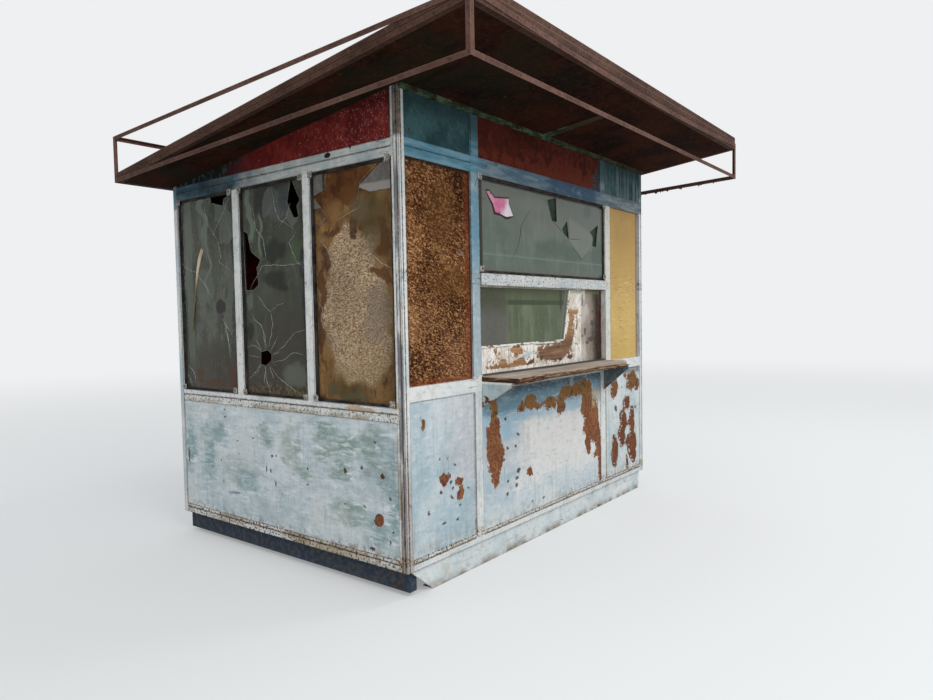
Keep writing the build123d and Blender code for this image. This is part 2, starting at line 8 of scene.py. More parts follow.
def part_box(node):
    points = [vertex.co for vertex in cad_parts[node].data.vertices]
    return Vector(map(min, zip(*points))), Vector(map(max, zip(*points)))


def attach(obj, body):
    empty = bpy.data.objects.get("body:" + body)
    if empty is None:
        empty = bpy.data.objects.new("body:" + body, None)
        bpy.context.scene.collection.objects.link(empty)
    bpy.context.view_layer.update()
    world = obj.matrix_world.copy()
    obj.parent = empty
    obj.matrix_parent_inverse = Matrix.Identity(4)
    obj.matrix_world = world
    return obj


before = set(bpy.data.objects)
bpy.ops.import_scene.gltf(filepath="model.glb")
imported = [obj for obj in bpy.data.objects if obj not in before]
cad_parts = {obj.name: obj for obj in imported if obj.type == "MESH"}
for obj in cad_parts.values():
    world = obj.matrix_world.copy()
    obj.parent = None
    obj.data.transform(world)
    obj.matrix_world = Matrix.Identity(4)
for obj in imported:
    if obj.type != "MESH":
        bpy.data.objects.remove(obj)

# The walls' left front corner at ground level. Places on the walls are given from it
# in metres: x to the right along the front, y to the back, z up.
CORNER = Vector((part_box("front_frame")[0].x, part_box("front_frame")[0].y, 0.0))
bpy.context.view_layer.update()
WALL_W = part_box("front_frame")[1].x - CORNER.x

# Camera, as solved from the walls' and the roof's edges in the photograph
EYE = Vector((-4.0121, -3.2157, 1.504))
AIM = Vector((0.7889, 0.6126, -0.0493))
RIGHT = Vector((0.6125, -0.7902, -0.018))
LENS = 26.767
FILM = 36.0

# Soft studio light and a pale floor that fades into the backdrop
BACKDROP = (0.86, 0.87, 0.88, 1.0)
SKY_LIGHT = (0.93, 0.97, 1.0, 1.0)
SKY_LEVEL = 0.8
FLOOR_RADIUS = 70.0
FLOOR_SEEN = (0.72, 0.725, 0.72, 1.0)
FLOOR_BOUNCE = (0.2, 0.2, 0.19, 1.0)
FADE_NEAR = 2.5
FADE_FAR = 20.0
FADE_LEAST = 0.3
LAMP_AIM = Vector((0, 0, 1.2))


def show(thing):
    bpy.context.scene.collection.objects.link(thing)
    return thing


class Value:
    """What a node gives. Numbers add, subtract and multiply as usual, and | takes the greater one."""

    def __init__(self, nodes, socket):
        self.nodes = nodes
        self.socket = socket

    def __add__(self, other):
        return self.nodes.calc("ADD", self, other)

    def __sub__(self, other):
        return self.nodes.calc("SUBTRACT", self, other)

    def __rsub__(self, other):
        return self.nodes.calc("SUBTRACT", other, self)

    def __mul__(self, other):
        return self.nodes.calc("MULTIPLY", self, other)

    def __or__(self, other):
        return self.nodes.calc("MAXIMUM", self, other)

    __radd__ = __add__
    __rmul__ = __mul__

    def sway(self, share):
        # The value's swing to both sides of its middle
        return (self - 0.5) * share

    def rise(self, low, high, least=0.0):
        # From least to 1 as the value goes from low to high; low may be the larger one
        made = self.nodes.tree.nodes.new("ShaderNodeMapRange")
        made.interpolation_type = "SMOOTHSTEP"
        ends = (low, high, least, 1.0) if low <= high else (high, low, 1.0, least)
        return self.nodes.fill(made, self, *ends, output="Result")

    def band(self, low, high, soft=0.004):
        return self.rise(low - soft, low + soft) * self.rise(high + soft, high - soft)

    def fade(self, low, high, first, last):
        # From the first colour to the last as the value goes from low to high
        return self.nodes.mix(self.rise(low, high), first, last)

    def ramp(self, *stops):
        made = self.nodes.tree.nodes.new("ShaderNodeValToRGB")
        points = made.color_ramp.elements
        while len(points) < len(stops):
            points.new(1.0)
        for point, (where, colour) in zip(points, stops):
            point.position = where
            point.color = (*colour, 1.0)
        return self.nodes.fill(made, self)

    def over(self, colour, mask):
        # Lays a colour over this one where the mask is 1
        self.socket = self.nodes.mix(mask, self, colour).socket


class Nodes:
    """A tree of nodes, built up from the values that they give."""

    def __init__(self, tree):
        self.tree = tree

    def put(self, value, socket):
        if isinstance(value, Value):
            self.tree.links.new(value.socket, socket)
        elif socket.type == "RGBA" and len(value) == 3:
            socket.default_value = (*value, 1.0)
        else:
            socket.default_value = value

    def fill(self, made, *terms, output=0, **names):
        # Sets a node's inputs, in their order or by name, and gives one of its outputs
        for term, socket in zip(terms, made.inputs):
            self.put(term, socket)
        for name, value in names.items():
            self.put(value, made.inputs[name])
        return Value(self, made.outputs[output])

    def node(self, kind, *terms, output=0, **names):
        return self.fill(self.tree.nodes.new(kind), *terms, output=output, **names)

    def calc(self, operation, *terms, clamp=False):
        made = self.tree.nodes.new("ShaderNodeMath")
        made.operation = operation
        made.use_clamp = clamp
        return self.fill(made, *terms)

    def vector(self, operation, *terms, output="Vector"):
        made = self.tree.nodes.new("ShaderNodeVectorMath")
        made.operation = operation
        return self.fill(made, *terms, output=output)

    def mix(self, amount, first, last):
        made = self.tree.nodes.new("ShaderNodeMix")
        made.data_type = "RGBA"
        for value, socket in ((amount, 0), (first, 6), (last, 7)):
            self.put(value, made.inputs[socket])
        return Value(self, made.outputs[2])

    def parts(self, kind, value):
        # The three numbers of a place or a colour
        made = self.node(kind, value)
        return [Value(self, output) for output in made.socket.node.outputs]

    def seen(self):
        # 1 for what is seen straight, in a mirror or through glass, 0 for what only gives light
        path = self.tree.nodes.new("ShaderNodeLightPath")
        rays = ("Is Camera Ray", "Is Glossy Ray", "Is Transmission Ray")
        straight, mirror, glass = (Value(self, path.outputs[ray]) for ray in rays)
        return self.calc("ADD", straight + mirror, glass, clamp=True)


# A place on a wall is given by the axis that runs along that wall, how far along and how high it is
FRONT = 0
SIDE = 1

# How much shorter paint marks are across a bar than along it
DRAWN = 0.06


class Finish(Nodes):
    """One procedural material, with places measured from the walls' corner."""

    def __init__(self, name):
        self.material = bpy.data.materials.new(name)
        self.material.use_nodes = True
        super().__init__(self.material.node_tree)
        self.shader = self.tree.nodes["Principled BSDF"]
        self.place = self.vector("SUBTRACT", self.node("ShaderNodeTexCoord", output="Object"), tuple(CORNER))
        self.x, self.y, self.z = self.parts("ShaderNodeSeparateXYZ", self.place)
        self.torn = self.place

    def tear(self, scale, amount, stretch=(1, 1, 1)):
        # Shifts what reach() measures from, so that spots get uneven, ragged outlines
        spot = self.vector("MULTIPLY", self.torn, stretch)
        names = {"Vector": spot, "Scale": scale, "Detail": 4, "Roughness": 0.62}
        made = self.node("ShaderNodeTexNoise", output="Color", **names)
        shift = self.vector("SUBTRACT", made, (0.5, 0.5, 0.5))
        self.torn = self.vector("ADD", self.torn, self.vector("MULTIPLY", shift, (amount, amount, amount)))

    def stretched(self, stretch, shift):
        return self.vector("MULTIPLY", self.vector("ADD", self.place, shift), stretch)

    def along(self, level):
        # Places drawn out along a bar: upright where level is 0, flat where it is 1
        flat = 1 - level * (1 - DRAWN)
        tall = DRAWN + level * (1 - DRAWN)
        return self.vector("MULTIPLY", self.place, self.node("ShaderNodeCombineXYZ", flat, flat, tall))

    def noise(self, scale, detail=5, rough=0.65, stretch=(1, 1, 1), shift=(0, 0, 0), warp=0.0, where=None):
        spot = self.stretched(stretch, shift) if where is None else self.vector("ADD", where, shift)
        names = {"Vector": spot, "Scale": scale, "Detail": detail, "Roughness": rough, "Distortion": warp}
        return self.node("ShaderNodeTexNoise", output="Fac", **names)

    def cells(self, scale, stretch=(1, 1, 1), shift=(0, 0, 0), feature="F1", turn=None, where=None):
        # How far each place is from its cell's middle, or from the cell's edge
        if turn:
            rotate = self.tree.nodes.new("ShaderNodeVectorRotate")
            rotate.rotation_type = "EULER_XYZ"
            turned = self.fill(rotate, Vector=self.vector("ADD", self.place, shift), Rotation=turn)
            where = self.vector("MULTIPLY", turned, stretch)
        made = self.tree.nodes.new("ShaderNodeTexVoronoi")
        made.feature = feature
        spot = where or self.stretched(stretch, shift)
        return self.fill(made, output="Distance", Vector=spot, Scale=scale)

    def picks(self, cells):
        # Three random numbers for each cell
        colour = Value(self, cells.socket.node.outputs["Color"])
        return self.parts("ShaderNodeSeparateColor", colour)

    def reach(self, axis, along, up, wide, tall, tilt=0.0):
        # Distance from a place on a wall, in radii of an oval whose right end is lifted by the tilt
        middle = [0.0, 0.0, up]
        middle[axis] = along
        spread = [0.0, 0.0, 1.0 / tall]
        spread[axis] = 1.0 / wide
        local = self.vector("SUBTRACT", self.torn, middle)
        if tilt:
            turn = self.tree.nodes.new("ShaderNodeVectorRotate")
            turn.rotation_type = "AXIS_ANGLE"
            around = (0, 1, 0) if axis == FRONT else (1, 0, 0)
            local = self.fill(turn, Vector=local, Axis=around, Angle=math.radians(tilt))
        return self.vector("LENGTH", self.vector("MULTIPLY", local, spread), output="Value")

    def nearest(self, axis, rows, blend=0.0):
        # The least reach of any row; with a blend, ovals that meet flow into one another
        whole = self.reach(axis, *rows[0])
        for row in rows[1:]:
            whole = self.calc("SMOOTH_MIN" if blend else "MINIMUM", whole, self.reach(axis, *row), blend)
        return whole

    def blots(self, axis, rows, edge, share=0.6, soft=0.12, blend=0.25):
        # 1 inside the rows' ovals, each given as along, up, half width, half height and tilt
        level = self.nearest(axis, rows, blend) + edge.sway(share)
        return level.rise(1 + soft, 1 - soft)

    def specks(self, scale, size, share, shift=(0, 0, 0), stretch=(1, 1, 1), turn=None):
        # Scattered small dots: the share of cells that has one, and its size in cells
        cell = self.cells(scale, stretch=stretch, shift=shift, turn=turn)
        pick = self.picks(cell)
        has = self.calc("GREATER_THAN", pick[0] + share, 1.0)
        return has * self.calc("LESS_THAN", cell, pick[1] * size)

    def edges(self, radius):
        # 1 where the surface turns within this radius
        soft = self.tree.nodes.new("ShaderNodeBevel")
        soft.samples = 4
        true = self.node("ShaderNodeNewGeometry", output="True Normal")
        agree = self.vector("DOT_PRODUCT", self.fill(soft, Radius=radius), true, output="Value")
        return agree.rise(0.995, 0.8)

    def finish(self, colour, rough, height=None, depth=0.001, shine=0.12, alpha=1.0):
        values = {"Base Color": colour, "Roughness": rough, "Specular IOR Level": shine, "Alpha": alpha}
        if height is not None:
            values["Normal"] = self.node("ShaderNodeBump", Height=height, Strength=1.0, Distance=depth)
        self.fill(self.shader, **values)
        return self.material


def make_camera():
    data = bpy.data.cameras.new("camera")
    data.lens = LENS
    data.sensor_width = FILM
    data.clip_end = 200.0
    camera = show(bpy.data.objects.new("camera", data))
    aim = AIM.normalized()
    right = (RIGHT - aim * RIGHT.dot(aim)).normalized()
    up = right.cross(aim)
    turn = Matrix((right, up, -aim)).transposed()
    camera.matrix_world = Matrix.Translation(EYE) @ turn.to_4x4()
    bpy.context.scene.camera = camera


def make_world():
    world = bpy.data.worlds.new("studio")
    bpy.context.scene.world = world
    world.use_nodes = True
    world.node_tree.nodes.clear()
    sky = Nodes(world.node_tree)
    light = sky.node("ShaderNodeBackground", SKY_LIGHT, SKY_LEVEL)
    view = sky.node("ShaderNodeBackground", BACKDROP)
    out = sky.tree.nodes.new("ShaderNodeOutputWorld")
    sky.put(sky.node("ShaderNodeMixShader", sky.seen(), light, view), out.inputs["Surface"])


def make_lamp(name, place, size, watts):
    data = bpy.data.lights.new(name, "AREA")
    data.shape = "DISK"
    data.size = size
    data.energy = watts
    lamp = show(bpy.data.objects.new(name, data))
    lamp.location = place
    lamp.rotation_mode = "QUATERNION"
    lamp.rotation_quaternion = (LAMP_AIM - Vector(place)).to_track_quat("-Z", "Y")


def make_floor():
    bm = bmesh.new()
    bmesh.ops.create_circle(bm, cap_ends=True, segments=96, radius=FLOOR_RADIUS)
    mesh = bpy.data.meshes.new("floor")
    bm.to_mesh(mesh)
    bm.free()
    floor = show(bpy.data.objects.new("floor", mesh))
    m = Finish("pale_floor")
    mesh.materials.append(m.finish(m.mix(m.seen(), FLOOR_BOUNCE, FLOOR_SEEN), 0.9, shine=0.1))
    away = m.vector("LENGTH", m.node("ShaderNodeTexCoord", output="Object"), output="Value")
    far = away.rise(FADE_NEAR, FADE_FAR, FADE_LEAST)
    near = Value(m, m.shader.outputs[0])
    glow = m.node("ShaderNodeEmission", BACKDROP)
    m.put(m.node("ShaderNodeMixShader", far, near, glow), m.tree.nodes["Material Output"].inputs["Surface"])


make_camera()
make_world()
make_lamp("softbox_front", (-3.0, -7.0, 6.0), 5.0, 340)
make_lamp("softbox_right", (6.0, -4.0, 8.5), 4.0, 260)
make_floor()


# Colours of the paints, as they look in plain light
WHITE = (0.72, 0.73, 0.71)
PALE_BLUE = (0.46, 0.57, 0.63)
SKY_BLUE = (0.19, 0.34, 0.44)
DEEP_BLUE = (0.05, 0.135, 0.2)
CREAM = (0.66, 0.62, 0.52)
RUST = (0.19, 0.066, 0.032)
RUST_PALE = (0.32, 0.15, 0.066)
RUST_DARK = (0.06, 0.022, 0.014)
BARE_DARK = (0.03, 0.022, 0.02)


def rust_colour(m):
    grain = m.noise(55)
    cloud = m.noise(15, stretch=(1, 1, 0.5), shift=(3.1, 1.7, 0.4))
    fine = grain.ramp((0.3, RUST_DARK), (0.47, RUST), (0.7, RUST_PALE))
    fine.over(RUST_DARK, cloud.rise(0.47, 0.36) * 0.6)
    return m.mix(cloud.rise(0.53, 0.64) * 0.5, fine, RUST_PALE)


def aged(m, colour, level=0.0, chips=0.5, stains=0.5, cracks=0.4, worn=None, mottle=0.5, heavy=0.0):
    """Old brush paint over steel: clouds, mottling, grime, cracks along the bar, chips at the edges."""
    way = m.along(level)
    cloud = m.noise(2.3)
    fine = m.noise(24)
    tiny = m.noise(85, detail=3, shift=(2, 1, 5))
    runs = m.noise(36, where=way)
    tint = m.mix(cloud.rise(0.5, 0.66) * 0.45, colour, WHITE)
    tint.over((0.33, 0.38, 0.4), cloud.rise(0.47, 0.34) * 0.3)
    tint.over((0.8, 0.8, 0.78), fine.rise(0.52, 0.68) * (0.55 * mottle))
    tint.over((0.27, 0.29, 0.28), fine.rise(0.47, 0.33) * (0.7 * mottle))
    tint.over((0.25, 0.25, 0.23), runs.rise(0.54, 0.7) * 0.28)
    tint.over((0.22, 0.165, 0.105), tiny.rise(0.58, 0.7) * (0.6 * stains))
    dirt = m.noise(7, shift=(5, 2, 1))
    tint.over((0.34, 0.28, 0.19), dirt.rise(0.54, 0.7) * (0.35 * stains))
    edge = m.edges(0.009)
    grime = edge * m.noise(18, shift=(1, 9, 2)).rise(0.4, 0.58)
    tint.over((0.13, 0.085, 0.055), grime * (0.55 * stains + 0.2))
    lost = m.noise(70, shift=(1, 4, 2))
    rise = lost + edge * (0.15 + 0.1 * chips)
    rise += heavy * 0.125
    chip = rise.rise(0.7 - 0.03 * chips, 0.725 - 0.03 * chips)
    split = m.cells(24, feature="DISTANCE_TO_EDGE", where=m.vector("MULTIPLY", way, (1.6, 1.6, 1.6)))
    gap = split.rise(0.026, 0.004)
    some = m.noise(5, detail=3, rough=0.6, shift=(7, 7, 3)).rise(0.62 - 0.16 * cracks, 0.72 - 0.16 * cracks)
    crack = gap * some
    tint.over((0.28, 0.18, 0.11), rise.rise(0.6, 0.71) * (0.55 * stains))
    tint.over((0.1, 0.08, 0.062), crack * 0.7)
    tint.over(fine.fade(0.45, 0.6, BARE_DARK, RUST), chip)
    bare = chip | crack * 0.6
    if worn is not None:
        tint.over(rust_colour(m), worn)
        bare = bare | worn
    height = fine * 0.45 + runs * 0.25 - bare
    rough = 0.55 + bare * 0.35
    return tint, rough, height


def header_paint(m, blotch, stroke):
    """Blue at the left, greyer in the middle, deep blue patches, grey at the right end."""
    left = stroke.fade(0.4, 0.6, (0.085, 0.215, 0.29), (0.17, 0.33, 0.41))
    middle = stroke.fade(0.42, 0.62, (0.075, 0.135, 0.185), (0.185, 0.25, 0.29))
    right = stroke.fade(0.42, 0.6, (0.105, 0.145, 0.165), (0.23, 0.275, 0.295))
    high = m.x.fade(0.62, 0.78, left, middle)
    deep = m.x.band(1.48, 2.2, 0.08) * blotch.rise(0.44, 0.54)
    high.over((0.03, 0.07, 0.125), deep * 0.85)
    high.over(right, m.x.rise(2.2, 2.34))
    high.over((0.05, 0.105, 0.125), m.z.rise(2.44, 2.6))
    worn = m.noise(26, stretch=(0.6, 1, 1.4), shift=(3, 3, 3)).rise(0.6, 0.66)
    share = 0.25 + m.x.rise(0.5, 0.8) * 0.55
    high.over((0.045, 0.032, 0.03), worn * share)
    pale = m.noise(34, stretch=(0.4, 1, 1.6), shift=(6, 1, 3)).rise(0.62, 0.7)
    high.over((0.34, 0.37, 0.37), pale * 0.55)
    edge = m.edges(0.006) * m.noise(40, detail=3, rough=0.5).rise(0.46, 0.56)
    high.over((0.06, 0.036, 0.028), edge * 0.7)
    return high


def front_frame_paint():
    m = Finish("front_frame_paint")
    blotch = m.noise(3.2, shift=(0, 0, 3))
    stroke = m.noise(9, stretch=(0.35, 1, 2.4))
    level = m.z.band(0.1, 0.205) | m.z.band(1.05, 1.15) | m.z.band(1.685, 1.758) | m.z.band(2.34, 2.433)
    low = blotch.fade(0.42, 0.62, WHITE, m.mix(0.5, WHITE, PALE_BLUE))
    low.over((0.42, 0.47, 0.48), m.z.band(1.69, 1.752) * 0.35)
    # The upright left of the hatch: sky blue at its top, pale below
    left_bar = m.x.band(0.59, 0.69) * m.z.rise(1.13, 1.16)
    fall = (m.z + blotch * 0.4).rise(1.7, 2.2)
    low.over(m.mix(fall, (0.35, 0.43, 0.47), (0.13, 0.27, 0.35)), left_bar)
    # Corner post: brown and purple streaks low down
    post = m.x.rise(0.06, 0.04)
    foot = post * (m.z + blotch * 0.6).rise(1.3, 0.75)
    low.over((0.25, 0.17, 0.15), foot * 0.55)
    upper = m.z.rise(2.33, 2.345) * m.x.rise(0.034, 0.044)
    low.over(CREAM, m.x.band(2.29, 2.42, 0.01) * 0.6)
    tan = m.z.band(0.182, 0.24, 0.008) * stroke.rise(0.4, 0.54)
    low.over((0.5, 0.42, 0.27), tan * 0.6)
    # Painted shade in the narrow gaps along both sides of the upright left of the hatch
    sides = m.x.rise(0.604, 0.596) | m.x.rise(0.676, 0.683)
    sides = sides * m.x.band(0.585, 0.695) * m.z.rise(1.14, 1.16)
    low.over((0.06, 0.07, 0.08), sides * 0.8)
    heavy = m.z.band(0.18, 0.235, 0.01) | m.z.band(1.685, 1.76) * 0.75 | blotch.rise(0.5, 0.62) * 0.28
    tint, rough, height = aged(m, low, level, chips=0.9, stains=0.8, cracks=0.7, mottle=0.55, heavy=heavy)
    face = m.x.rise(0.006, 0.002) * m.y.rise(0.002, 0.006) * m.z.rise(2.36, 2.25)
    drawn = m.noise(26, stretch=(1, 1, 0.1), shift=(4, 4, 0))
    tint.over((0.08, 0.062, 0.06), face * drawn.rise(0.42, 0.54) * 0.75)
    tint.over(header_paint(m, blotch, stroke), upper)
    # The shaded gap between the counter shelf and the hatch above it
    gap = m.z.band(1.139, 1.17, 0.002) * m.x.band(0.69, 2.31, 0.01)
    tint.over((0.026, 0.018, 0.014), gap * 0.9)
    # Bare rusty steel on the corner's left side, beside the frieze
    corner = m.x.rise(0.03, 0.006) * m.z.rise(2.425, 2.455)
    tint.over(stroke.fade(0.44, 0.56, (0.02, 0.03, 0.035), (0.17, 0.1, 0.055)), corner * 0.85)
    return m.finish(tint, rough, height, 0.001, shine=0.1)


# Places on the side walls' rails where tan primer shows
RAIL_TAN = [(0.38, 1.002, 0.07, 0.018), (0.27, 0.998, 0.05, 0.012), (0.06, 1.035, 0.03, 0.02)]


def side_frame_paint(name, dark_far=True):
    m = Finish(name)
    blotch = m.noise(3.0, shift=(0, 0, 5))
    level = m.z.band(0.1, 0.205) | m.z.band(0.943, 1.022) | m.z.band(2.34, 2.433)
    low = blotch.fade(0.42, 0.62, (0.78, 0.79, 0.77), (0.64, 0.69, 0.67))
    low.over((0.46, 0.39, 0.27), m.z.rise(0.975, 0.955) * blotch.rise(0.44, 0.56))
    near = blotch.fade(0.4, 0.6, (0.6, 0.64, 0.61), (0.42, 0.49, 0.49))
    stroke = m.noise(5, stretch=(1, 0.4, 2))
    far = stroke.fade(0.4, 0.62, (0.018, 0.048, 0.068), (0.066, 0.14, 0.19))
    top = (m.y + stroke * 0.3).fade(1.2, 1.65, near, far) if dark_far else near
    heavy = m.z.band(0.935, 1.0) * 0.8 | m.z.rise(0.235, 0.215) | blotch.rise(0.5, 0.62) * 0.4
    tint, rough, height = aged(m, low, level, chips=0.9, stains=0.9, cracks=0.6, mottle=0.55, heavy=heavy)
    old = aged(m, top, 1.0, chips=1.0, stains=1.0, cracks=0.8, mottle=0.5)[0]
    head = m.z.rise(2.33, 2.342)
    gone = m.y.rise(1.25, 1.6) * (0.8 if dark_far else 0.0)
    old.over(far, head * gone)
    tint.over(old, head)
    if dark_far:
        fray = m.noise(60)
        hole = m.blots(SIDE, [(0.545, 2.414, 0.026, 0.015), (0.36, 2.432, 0.008, 0.01)], fray, 0.8, 0.08)
        tint.over((0.02, 0.015, 0.013), hole)
        tan = m.blots(SIDE, RAIL_TAN, fray, 2.0, 0.2)
        tint.over((0.45, 0.27, 0.13), tan * 0.7)
    return m.finish(tint, rough, height, 0.001, shine=0.1)


def back_frame_paint():
    m = Finish("back_frame_paint")
    blotch = m.noise(2.6, rough=0.5, shift=(0, 0, 7))
    colour = blotch.fade(0.4, 0.6, PALE_BLUE, WHITE)
    high = blotch.fade(0.4, 0.62, DEEP_BLUE, SKY_BLUE)
    colour.over(high, m.z.rise(2.27, 2.29))
    tint, rough, height = aged(m, colour, chips=0.9, stains=0.8, cracks=0.5)
    return m.finish(tint, rough, height, 0.0008)


# Where paint is lost on the lower front: along, up, half width, half height, tilt
FRONT_LOST = [
    (0.806, 0.935, 0.036, 0.085), (0.8, 0.775, 0.074, 0.11), (0.815, 0.64, 0.084, 0.13),
    (0.81, 0.51, 0.044, 0.075), (1.11, 0.903, 0.054, 0.028, 20), (1.215, 0.932, 0.074, 0.046),
    (1.3, 0.895, 0.042, 0.024, -15), (1.47, 0.9, 0.072, 0.046), (1.525, 0.868, 0.022, 0.032),
    (1.615, 0.875, 0.06, 0.075), (1.7, 0.95, 0.095, 0.046), (1.84, 0.955, 0.13, 0.042),
    (1.98, 0.95, 0.11, 0.06), (2.01, 0.82, 0.095, 0.11), (2.08, 0.71, 0.105, 0.15), (2.0, 0.65, 0.06, 0.07),
    (2.13, 0.6, 0.07, 0.08), (2.012, 0.53, 0.04, 0.09), (2.178, 0.52, 0.04, 0.12),
    (2.165, 0.425, 0.07, 0.03), (2.205, 0.32, 0.034, 0.12), (2.468, 0.895, 0.058, 0.068),
    (2.8, 0.935, 0.09, 0.066), (2.895, 0.905, 0.052, 0.05), (2.69, 0.765, 0.05, 0.055),
    (2.635, 0.62, 0.055, 0.075), (2.605, 0.5, 0.055, 0.085), (2.7, 0.575, 0.07, 0.022),
    (2.795, 0.58, 0.046, 0.12), (2.8, 0.4, 0.08, 0.09), (2.82, 0.31, 0.06, 0.05), (2.71, 0.44, 0.06, 0.034),
    (2.465, 0.4, 0.05, 0.11), (2.7, 0.27, 0.018, 0.055),
]
FRONT_SMALL = [
    (0.147, 0.918, 0.024, 0.038), (0.305, 0.588, 0.04, 0.028), (0.352, 0.59, 0.016, 0.008),
    (0.446, 0.545, 0.032, 0.027), (0.475, 0.485, 0.028, 0.038), (1.2, 0.463, 0.036, 0.025, -12),
    (2.662, 0.988, 0.03, 0.02, -20), (1.362, 0.893, 0.025, 0.013),
]
FRONT_DOTS = [
    (0.282, 0.71, 0.006, 0.006), (0.418, 0.653, 0.011, 0.005, -35), (0.355, 0.605, 0.007, 0.014),
    (0.375, 0.562, 0.012, 0.011), (0.393, 0.523, 0.009, 0.01), (0.29, 0.517, 0.012, 0.012),
    (0.383, 0.475, 0.018, 0.008, -30), (0.183, 0.43, 0.008, 0.012), (0.457, 0.413, 0.011, 0.008),
    (0.54, 0.498, 0.012, 0.006), (0.31, 0.34, 0.015, 0.008), (0.435, 0.332, 0.011, 0.009),
    (0.945, 0.663, 0.013, 0.013), (1.038, 0.662, 0.013, 0.009), (1.065, 0.735, 0.018, 0.009, -30),
    (0.925, 0.853, 0.016, 0.012), (0.905, 0.595, 0.012, 0.01), (1.065, 0.5, 0.022, 0.017),
    (1.048, 0.453, 0.019, 0.013), (1.042, 0.41, 0.013, 0.016), (0.942, 0.452, 0.013, 0.008),
    (0.938, 0.375, 0.012, 0.013), (1.37, 0.255, 0.016, 0.008, 15), (1.23, 0.262, 0.015, 0.005),
    (2.61, 0.897, 0.016, 0.006), (2.87, 0.708, 0.02, 0.014), (2.495, 0.735, 0.019, 0.028, 30),
    (2.567, 0.665, 0.012, 0.03),
]
FRONT_ISLANDS = [
    (2.705, 0.532, 0.05, 0.024, 15), (2.662, 0.462, 0.026, 0.012), (2.73, 0.645, 0.028, 0.032, 40),
    (2.19, 0.69, 0.014, 0.026),
]


def front_panel_coat(m, cloud, last):
    """Old coats on the lower front: pale blue at the left, whiter to the right, blue under the counter, and
    painted shade at the panels' top, under the counter shelf.
    """
    wipe = m.noise(9, stretch=(0.7, 1, 1.0))
    brush = m.noise(30, stretch=(0.35, 1, 1.5), shift=(1, 5, 0))
    side_on = m.x + wipe.sway(0.5)
    colour = cloud.fade(0.4, 0.6, (0.36, 0.48, 0.54), (0.5, 0.58, 0.62))
    paler = side_on.rise(0.25, 0.5) * (m.z + wipe * 0.3).rise(0.55, 0.8)
    colour.over((0.58, 0.58, 0.6), paler * 0.75)
    middle = m.x.band(0.685, 2.235, 0.01)
    bright = middle * (side_on + m.z * -0.25).rise(0.78, 1.02)
    foot = (m.z + wipe.sway(0.4)).rise(0.3, 0.46)
    white = m.mix(foot, (0.55, 0.62, 0.66), (0.72, 0.71, 0.69))
    colour.over(white, bright * 0.95)
    colour.over(cloud.fade(0.4, 0.6, (0.62, 0.66, 0.67), (0.47, 0.58, 0.59)), last)
    brim = m.z + m.noise(5, stretch=(0.6, 1, 1)).sway(0.16)
    ring = 1 - last
    near = m.x.rise(1.16, 0.95)
    low_sky = ring * (brim.rise(0.79, 0.83) | near * brim.rise(0.68, 0.74))
    colour.over((0.3, 0.47, 0.58), low_sky * middle * 0.85)
    sky = middle * brim.rise(0.86, 0.9)
    colour.over((0.13, 0.27, 0.35), sky * 0.9)
    # Painted shade at the top of the panels, under the counter shelf
    dark = (middle | last) * brim.rise(0.975, 1.035)
    colour.over((0.02, 0.05, 0.07), dark * 0.75)
    colour.over((0.78, 0.79, 0.78), brush.rise(0.54, 0.68) * 0.35)
    colour.over((0.3, 0.38, 0.42), brush.rise(0.46, 0.33) * 0.35)
    soil = m.z.rise(0.3, 0.205) * m.noise(22).rise(0.44, 0.58)
    colour.over((0.33, 0.3, 0.24), soil * 0.6)
    return colour


def front_panel_rust(m, edge):
    rust = rust_colour(m)
    rust.over((0.32, 0.165, 0.055), (m.z + edge * 0.3).rise(0.8, 0.93) * 0.7)
    rust.over((0.12, 0.034, 0.018), m.x.rise(2.3, 2.32) * 0.45)
    mould = m.noise(24).rise(0.53, 0.61) * m.z.rise(0.8, 0.88)
    rust.over((0.062, 0.05, 0.03), mould * 0.8)
    return rust


def front_panel_paint():
    m = Finish("front_panel_paint")
    cloud = m.noise(2.6)
    fray = m.noise(30, shift=(2, 6, 4))
    last = m.x.rise(2.31, 2.33)
    colour = front_panel_coat(m, cloud, last)
    tint, rough, height = aged(m, colour, chips=0.15, stains=0.4, cracks=0.2, mottle=0.35)
    edge = fray - 0.5
    m.tear(13, 0.11, (1, 1, 0.6))
    m.tear(60, 0.036)
    large = m.nearest(FRONT, FRONT_LOST, 0.3) + edge * 0.7
    large -= last * 0.16
    small = m.nearest(FRONT, FRONT_SMALL, 0.2) + edge * 0.5
    rim = m.calc("MINIMUM", large, small)
    kept = m.blots(FRONT, FRONT_ISLANDS, fray, 1.0, 0.06)
    lost = rim.rise(1.03, 0.97) * (1 - kept)
    tint.over((0.62, 0.53, 0.46), rim.rise(1.3, 1.06) * 0.4)
    rust = front_panel_rust(m, edge)
    streak = m.noise(26, stretch=(1, 1, 0.35), shift=(6, 0, 2))
    cream = m.x.band(2.085, 2.205, 0.02) * m.z.band(0.8, 0.92, 0.03)
    rust.over((0.56, 0.42, 0.25), cream * streak.rise(0.4, 0.52))
    tint.over((0.56, 0.42, 0.25), cream * streak.rise(0.46, 0.56))
    tint.over((0.115, 0.07, 0.05), rim.rise(1.1, 1.02) * (1 - lost))
    tint.over(rust, lost)
    m.torn = m.place
    m.tear(60, 0.036)
    spot = m.blots(FRONT, FRONT_DOTS, fray, 0.8, 0.16, 0.0)
    tint.over(cloud.fade(0.46, 0.54, (0.045, 0.048, 0.05), (0.085, 0.048, 0.036)), spot * 0.92)
    few = m.noise(2.6, detail=2, rough=0.5, shift=(9, 0, 1)).rise(0.46, 0.58)
    dots = m.specks(44, 0.16, 0.16, stretch=(1, 1, 0.8)) * few
    tint.over((0.13, 0.085, 0.065), dots)
    bare = lost | spot
    return m.finish(tint, m.calc("ADD", rough, lost * 0.3, clamp=True), height - bare, 0.001)


